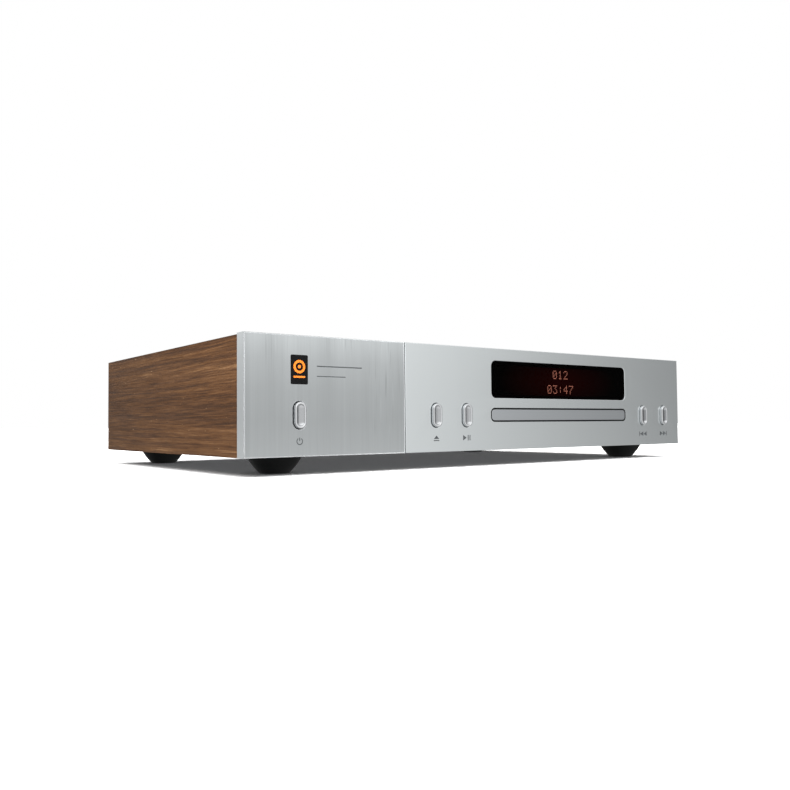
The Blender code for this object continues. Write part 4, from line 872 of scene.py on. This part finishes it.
def function_marks():
    """A plain symbol under each button."""
    z = PANEL_BOTTOM + MARK_HEIGHT
    x = {button: cap_of(button)[0][0] for button in BUTTONS}
    power_mark(x["power_button"], z, MARK_SIZE * 1.15)
    eject_mark(x["eject_button"], z, MARK_SIZE)
    play_pause_mark(x["play_pause_button"], z, MARK_SIZE)
    skip_mark("mark_skip_back", x["skip_back_button"], z, MARK_SIZE, -1)
    skip_mark("mark_skip_forward", x["skip_forward_button"], z, MARK_SIZE, 1)


def plain_rules():
    """Two plain printed rules beside the badge."""
    x = PANEL_LEFT + RULE_START
    for name, height, length, thickness in RULES:
        z = PANEL_BOTTOM + height
        print_mark(name, [rounded((x, x + length), (z, z + thickness), 0.0)])


# ---------------------------------------------------------------- display


DIGITS = {
    "0": ("01110", "10001", "10011", "10101", "11001", "10001", "01110"),
    "1": ("00100", "01100", "00100", "00100", "00100", "00100", "01110"),
    "2": ("01110", "10001", "00001", "00010", "00100", "01000", "11111"),
    "3": ("11111", "00010", "00100", "00010", "00001", "10001", "01110"),
    "4": ("00010", "00110", "01010", "10010", "11111", "00010", "00010"),
    "7": ("11111", "00001", "00010", "00100", "01000", "01000", "01000"),
    ":": ("00000", "00100", "00100", "00000", "00100", "00100", "00000"),
}


def dot_centres(text, left, top):
    """Where each lit dot of a line of numbers is, in (x, z)."""
    for place, digit in enumerate(text):
        for row, pattern in enumerate(DIGITS[digit]):
            for column, lit in enumerate(pattern):
                if lit == "1":
                    x = left + place * CHARACTER_PITCH + (column + 0.5) * DOT_PITCH
                    yield x, top - (row + 0.5) * DOT_PITCH


def dot_text(name, text, middle, top, depth):
    """A line of dot-matrix numbers as one piece: small raised tiles."""
    left = middle - (len(text) * CHARACTER_PITCH - CHARACTER_SPACE) / 2
    mesh = bpy.data.meshes.new(name)
    made = bmesh.new()
    for x, z in dot_centres(text, left, top):
        tile = bmesh.ops.create_cube(made, size=1.0)["verts"]
        bmesh.ops.scale(made, vec=(DOT_SIZE, DOT_THICKNESS, DOT_SIZE), verts=tile)
        bmesh.ops.translate(made, verts=tile, vec=(x, depth, z))
    made.to_mesh(mesh)
    made.free()
    add_piece(name, mesh, "cabinet", "display_dots", "display_black")


def window():
    """The smoked pane, and the skirt that carries it through the plate."""
    lo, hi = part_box("display_window")
    inset, corner = WINDOW_FLANGE + WINDOW_GAP, WINDOW_CORNER - WINDOW_GAP
    outline = rounded(*inset_box("display_window", inset), corner)
    pane = slab("window_pane", [outline], (lo.y, lo.y + PANE_DEPTH), PANE_EDGE)
    smooth(
        add_piece("window_pane", pane, "cabinet", "smoked_acrylic", "smoked_acrylic", ("display_window",))
    )
    rim = rounded(*inset_box("display_window", inset + SKIRT), corner - SKIRT)
    skirt = slab("window_skirt", [outline, rim], (lo.y + PANE_DEPTH + HAIR, hi.y))
    add_piece("window_skirt", skirt, "cabinet", "black_plastic", "smoked_acrylic")


def display():
    """The black screen behind the pane and its two lines of lit numbers."""
    lo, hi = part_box("display_module")
    middle = (lo + hi) / 2
    reach = ((hi.x - lo.x) * GLOW_REACH[0], (hi.z - lo.z) * GLOW_REACH[1])
    MATERIALS["display_glow"] = display_glow("display_glow", middle, *reach)
    outline = rounded(*inset_box("display_module", 0.0), SCREEN_CORNER, steps=6)
    screen = slab("display_screen", [outline], (lo.y, hi.y), SMALL_EDGE)
    smooth(
        add_piece("display_screen", screen, "cabinet", "display_glow", "display_black", ("display_module",))
    )
    front = lo.y - DOT_STAND_OFF
    dot_text("display_track_number", "012", middle.x, PANEL_BOTTOM + TRACK_TOP, front)
    dot_text("display_time", "03:47", middle.x, PANEL_BOTTOM + TIME_TOP, front)


# ---------------------------------------------------------------- tray, feet and cabinet


def tray_bezel():
    """The front of the tray."""
    lo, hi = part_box("tray_bezel")
    outline = rounded(*inset_box("tray_bezel", 0.0), SLOT_CORNER - SLOT_GAP)
    bezel = slab("tray_front", [outline], (lo.y, hi.y), BEZEL_EDGE, rounds=4)
    smooth(add_piece("tray_front", bezel, "tray", "bezel_aluminium", "bezel_aluminium", ("tray_bezel",)))


def tray_slot_shade():
    """A dark ring in the tray's slot, a painted shade for its gap, clear of the bezel and of the tray."""
    lo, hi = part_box("tray_bezel")
    width, height = (lo.x - SLOT_SHADE_SIDE, hi.x + SLOT_SHADE_SIDE), (lo.z - SLOT_SHADE_BELOW, hi.z + SLOT_SHADE_ABOVE)
    outer = rounded(width, height, SLOT_SHADE_CORNER)
    low = min(lo.z - SLOT_SHADE_GAP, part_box("disc_tray")[0].z - SLOT_SHADE_TRAY_GAP)
    width, height = (lo.x - SLOT_SHADE_GAP, hi.x + SLOT_SHADE_GAP), (low, hi.z + SLOT_SHADE_GAP)
    inner = rounded(width, height, SLOT_CORNER - SLOT_GAP + SLOT_SHADE_GAP)
    slot_shade = slab("tray_slot_shade", [outer, inner], (FRONT_Y - HAIR, FRONT_Y + SLOT_SHADE_DEPTH))
    add_piece("tray_slot_shade", slot_shade, "cabinet", "badge_black", "brushed_aluminium")


def cross(centre, reach, width):
    """A plus sign's outline."""
    points = []
    for across, up in ((1, 0), (0, 1), (-1, 0), (0, -1)):
        for side in (-width / 2, width / 2):
            points.append((centre[0] + across * reach - up * side, centre[1] + up * reach + across * side))
        corner = (across - up) * width / 2, (up + across) * width / 2
        points.append((centre[0] + corner[0], centre[1] + corner[1]))
    return points


def rear_screws():
    """Cross-head screws along the rear panel's upper and lower edges."""
    lo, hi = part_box("rear_panel")
    outlines = []
    for z in (lo.z + SCREW_INSET, hi.z - SCREW_INSET):
        for share in SCREW_SHARES:
            at = (lo.x + (hi.x - lo.x) * share, z)
            outlines += [circle(at, SCREW_R, steps=32), cross(at, *SCREW_CROSS)]
    depth = [hi.y + behind for behind in SCREW_DEPTH]
    heads = slab("rear_panel_screws", outlines, depth, SMALL_EDGE)
    smooth(add_piece("rear_panel_screws", heads, "cabinet", "zinc_plated_steel", "zinc_plated_steel"))


def foot_profile(top_r, top):
    """A foot's (radius, height) outline: its side from the top down, then its hollow and bore."""
    slope = math.atan2(top - FOOT_RIM, top_r - FOOT_LOW_R)
    turn_r = FOOT_LOW_R - FOOT_EDGE * (1 - math.cos(slope)) / math.sin(slope)
    lower = arc((turn_r, FOOT_EDGE), FOOT_EDGE, slope - math.pi / 2, -math.pi / 2, steps=8)
    profile = [(FOOT_BORE_R, top), (top_r - FOOT_TOP_EDGE, top), (top_r, top - FOOT_TOP_EDGE)]
    profile.append((top_r, top - FOOT_RIM))
    for step in range(1, FOOT_SIDE_STEPS):
        share = step / FOOT_SIDE_STEPS
        swell = FOOT_SWELL * math.sin(share * math.pi)
        radius = top_r + (lower[0][0] - top_r) * share + swell * math.sin(slope)
        height = top - FOOT_RIM + (lower[0][1] - top + FOOT_RIM) * share - swell * math.cos(slope)
        profile.append((radius, height))
    profile += lower
    profile += [(FOOT_HOLLOW_R + FOOT_HOLLOW_EDGE, 0.0), (FOOT_HOLLOW_R, FOOT_HOLLOW_EDGE)]
    profile += [(FOOT_HOLLOW_R, FOOT_HOLLOW), (FOOT_BORE_R, FOOT_HOLLOW), (FOOT_BORE_R, top)]
    return profile


def foot(node):
    """A tapered foot with a rounded lower edge and a hollow for its screw."""
    lo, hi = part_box(node)
    centre = ((lo.x + hi.x) / 2, (lo.y + hi.y) / 2, 0.0)
    mesh = turned(node, centre, foot_profile((hi.x - lo.x) / 2 - FOOT_INSET, hi.z))
    smooth(add_piece(node + "_body", mesh, "cabinet", "foot_rubber", "foot_rubber", (node,)), angle=45.0)


def finish_cad_nodes():
    """CAD nodes get their slot's material. Those that show get smooth rounds, and the wood soft edges."""
    for name, obj in frame["nodes"].items():
        slot = SLOT_OF[name]
        obj.data.materials.clear()
        # Only the display's slot has no material of its own, and its node is hidden
        obj.data.materials.append(MATERIALS.get(slot) or MATERIALS["black_plastic"])
        if obj.hide_render:
            continue
        obj.data.shade_smooth()
        obj.data.set_sharp_from_angle(angle=CAD_SHARP)
        if name in WOOD:
            soften = obj.modifiers.new("Soft edges", "BEVEL")
            soften.width = WOOD_EDGE
            soften.segments = 3
            soften.limit_method = "ANGLE"
            soften.harden_normals = True


# ---------------------------------------------------------------- studio

FLOOR_TONES = ((0.93, 0.93, 0.93), (0.95, 0.95, 0.95))
FLOOR_LIFT = 0.01
# Bright areas of the surroundings: azimuth from the front towards the right, elevation, outer and
# inner half-angles in degrees, and strength
DOME_LEVEL = 0.42
DOME_LOBES = (
    (0.0, 80.0, 58.0, 20.0, 2.1),
    (-70.0, 25.0, 50.0, 10.0, 0.25),
    (70.0, 10.0, 60.0, 20.0, 1.0),
)
ROOM_LEVEL = 0.28
ROOM_LOBES = (
    (20.0, 75.0, 75.0, 45.0, 0.8),
    (-12.0, 0.0, 72.0, 42.0, 0.88),
    (-144.0, 5.0, 50.0, 20.0, 1.02),
    (75.0, -45.0, 55.0, 20.0, 0.35),
)
# The side lamp: where it is and what it points at, from the floor under the plates' left end
SIDE_LAMP_PLACE = (-0.30, -0.06, 0.20)
SIDE_LAMP_TARGET = (0.0, 0.06, 0.05)
SIDE_LAMP_SIZE = 0.4
SIDE_LAMP_POWER = 3.2
SIDE_LAMP_COLOUR = (1.0, 0.93, 0.84)
# The floor's sun: its strength, how wide it is in the sky, and where it points
SUN_STRENGTH = 5.0
SUN_SPREAD = math.radians(100)
SUN_WAY = (0.20, 0.25, -1.0)
# The camera: its place from the plates' lower left front corner, its turns to the right, up and about
# its own axis in radians, and its lens and sensor in millimetres
CAMERA_PLACE = Vector((-213.5, -445.4, 20.2)) * MM
CAMERA_YAW, CAMERA_PITCH, CAMERA_ROLL = 0.6359, 0.0373, 0.0086
CAMERA_LENS = 36.05
CAMERA_SENSOR = 36.0


def floor():
    """A wide pale floor."""
    mesh = bpy.data.meshes.new("floor")
    made = bmesh.new()
    bmesh.ops.create_grid(made, x_segments=2, y_segments=2, size=20.0)
    made.to_mesh(mesh)
    made.free()
    s = Shader("floor")
    cloud = s.noise(3.0)
    s.set(Base_Color=s.mix(cloud, *FLOOR_TONES), Roughness=0.6)
    s.set(Specular_IOR_Level=0.0, Emission_Color=(1.0, 1.0, 1.0), Emission_Strength=FLOOR_LIFT)
    mesh.materials.append(s.material)
    obj = bpy.data.objects.new("floor", mesh)
    obj.visible_glossy = False
    bpy.context.scene.collection.objects.link(obj)


def bright_areas(nodes, direction, level, lobes):
    """A background with an even level and soft round bright areas on it."""
    total = level
    for azimuth, elevation, outer, inner, strength in lobes:
        a, e = math.radians(azimuth), math.radians(elevation)
        towards = (math.sin(a) * math.cos(e), -math.cos(a) * math.cos(e), math.sin(e))
        product = nodes.add("ShaderNodeVectorMath", {0: direction, 1: towards}, operation="DOT_PRODUCT")
        inputs = {0: product.outputs["Value"], 1: math.cos(math.radians(outer))}
        inputs |= {2: math.cos(math.radians(inner)), 3: 0.0, 4: strength}
        lobe = nodes.add("ShaderNodeMapRange", inputs, interpolation_type="SMOOTHSTEP").outputs[0]
        total = nodes.add("ShaderNodeMath", {0: total, 1: lobe}, operation="ADD").outputs[0]
    return nodes.add("ShaderNodeBackground", {"Strength": total}).outputs[0]


def sky():
    """White to the camera, a soft dome as a light, and a darker room with bright areas in reflections."""
    world = bpy.data.worlds.new("studio")
    world.use_nodes = True
    bpy.context.scene.world = world
    nodes = Nodes(world.node_tree)
    nodes.tree.nodes.clear()
    direction = nodes.add("ShaderNodeTexCoord").outputs["Generated"]
    for_light = bright_areas(nodes, direction, DOME_LEVEL, DOME_LOBES)
    for_gloss = bright_areas(nodes, direction, ROOM_LEVEL, ROOM_LOBES)
    for_camera = nodes.add("ShaderNodeBackground", {"Color": (1.0, 1.0, 1.0)}).outputs[0]
    path = nodes.add("ShaderNodeLightPath").outputs
    surface = for_light
    for ray, seen in (("Is Glossy Ray", for_gloss), ("Is Camera Ray", for_camera)):
        surface = nodes.add("ShaderNodeMixShader", {0: path[ray], 1: surface, 2: seen}).outputs[0]
    nodes.add("ShaderNodeOutputWorld", {"Surface": surface})


def lamp(name, kind, energy, way, receivers):
    """A lamp that points one way, lights only its receivers and shows in no reflection."""
    data = bpy.data.lights.new(name, kind)
    data.energy = energy
    obj = bpy.data.objects.new(name, data)
    bpy.context.scene.collection.objects.link(obj)
    obj.rotation_mode = "QUATERNION"
    obj.rotation_quaternion = way.to_track_quat("-Z", "Y")
    obj.visible_glossy = False
    lit = bpy.data.collections.new("lit_by_" + name)
    for receiver in receivers:
        lit.objects.link(receiver)
    obj.light_linking.receiver_collection = lit
    return obj


def side_light():
    """A soft light at the front left, which fades along the cabinet's side."""
    corner = Vector((PANEL_LEFT, FRONT_Y, 0.0))
    place, target = corner + Vector(SIDE_LAMP_PLACE), corner + Vector(SIDE_LAMP_TARGET)
    wood = [frame["nodes"][name] for name in WOOD]
    obj = lamp("side_light", "AREA", SIDE_LAMP_POWER, target - place, wood)
    obj.location = place
    obj.data.shape = "DISK"
    obj.data.size = SIDE_LAMP_SIZE
    obj.data.color = SIDE_LAMP_COLOUR


def floor_light():
    """A broad light from above that only whitens the floor."""
    obj = lamp("floor_light", "SUN", SUN_STRENGTH, Vector(SUN_WAY), [bpy.data.objects["floor"]])
    obj.data.angle = SUN_SPREAD


def camera():
    """A low three-quarter view from the front left, close to the player."""
    data = bpy.data.cameras.new("camera")
    data.lens = CAMERA_LENS
    data.sensor_width = CAMERA_SENSOR
    data.clip_start = 0.01
    data.clip_end = 100.0
    obj = bpy.data.objects.new("camera", data)
    bpy.context.scene.collection.objects.link(obj)
    obj.location = Vector((PANEL_LEFT, FRONT_Y, PANEL_BOTTOM)) + CAMERA_PLACE
    level = math.cos(CAMERA_PITCH)
    forward = Vector((math.sin(CAMERA_YAW) * level, math.cos(CAMERA_YAW) * level, math.sin(CAMERA_PITCH)))
    obj.rotation_mode = "QUATERNION"
    obj.rotation_quaternion = Quaternion(forward, CAMERA_ROLL) @ forward.to_track_quat("-Z", "Y")
    bpy.context.scene.camera = obj


front_plates()
for each in BUTTONS:
    button_cap(each)
badge()
function_marks()
rear_screws()
plain_rules()
window()
display()
tray_bezel()
tray_slot_shade()
for each in FEET:
    foot(each)
finish_cad_nodes()
floor()
sky()
side_light()
floor_light()
camera()
bpy.context.scene.view_settings.view_transform = "Standard"
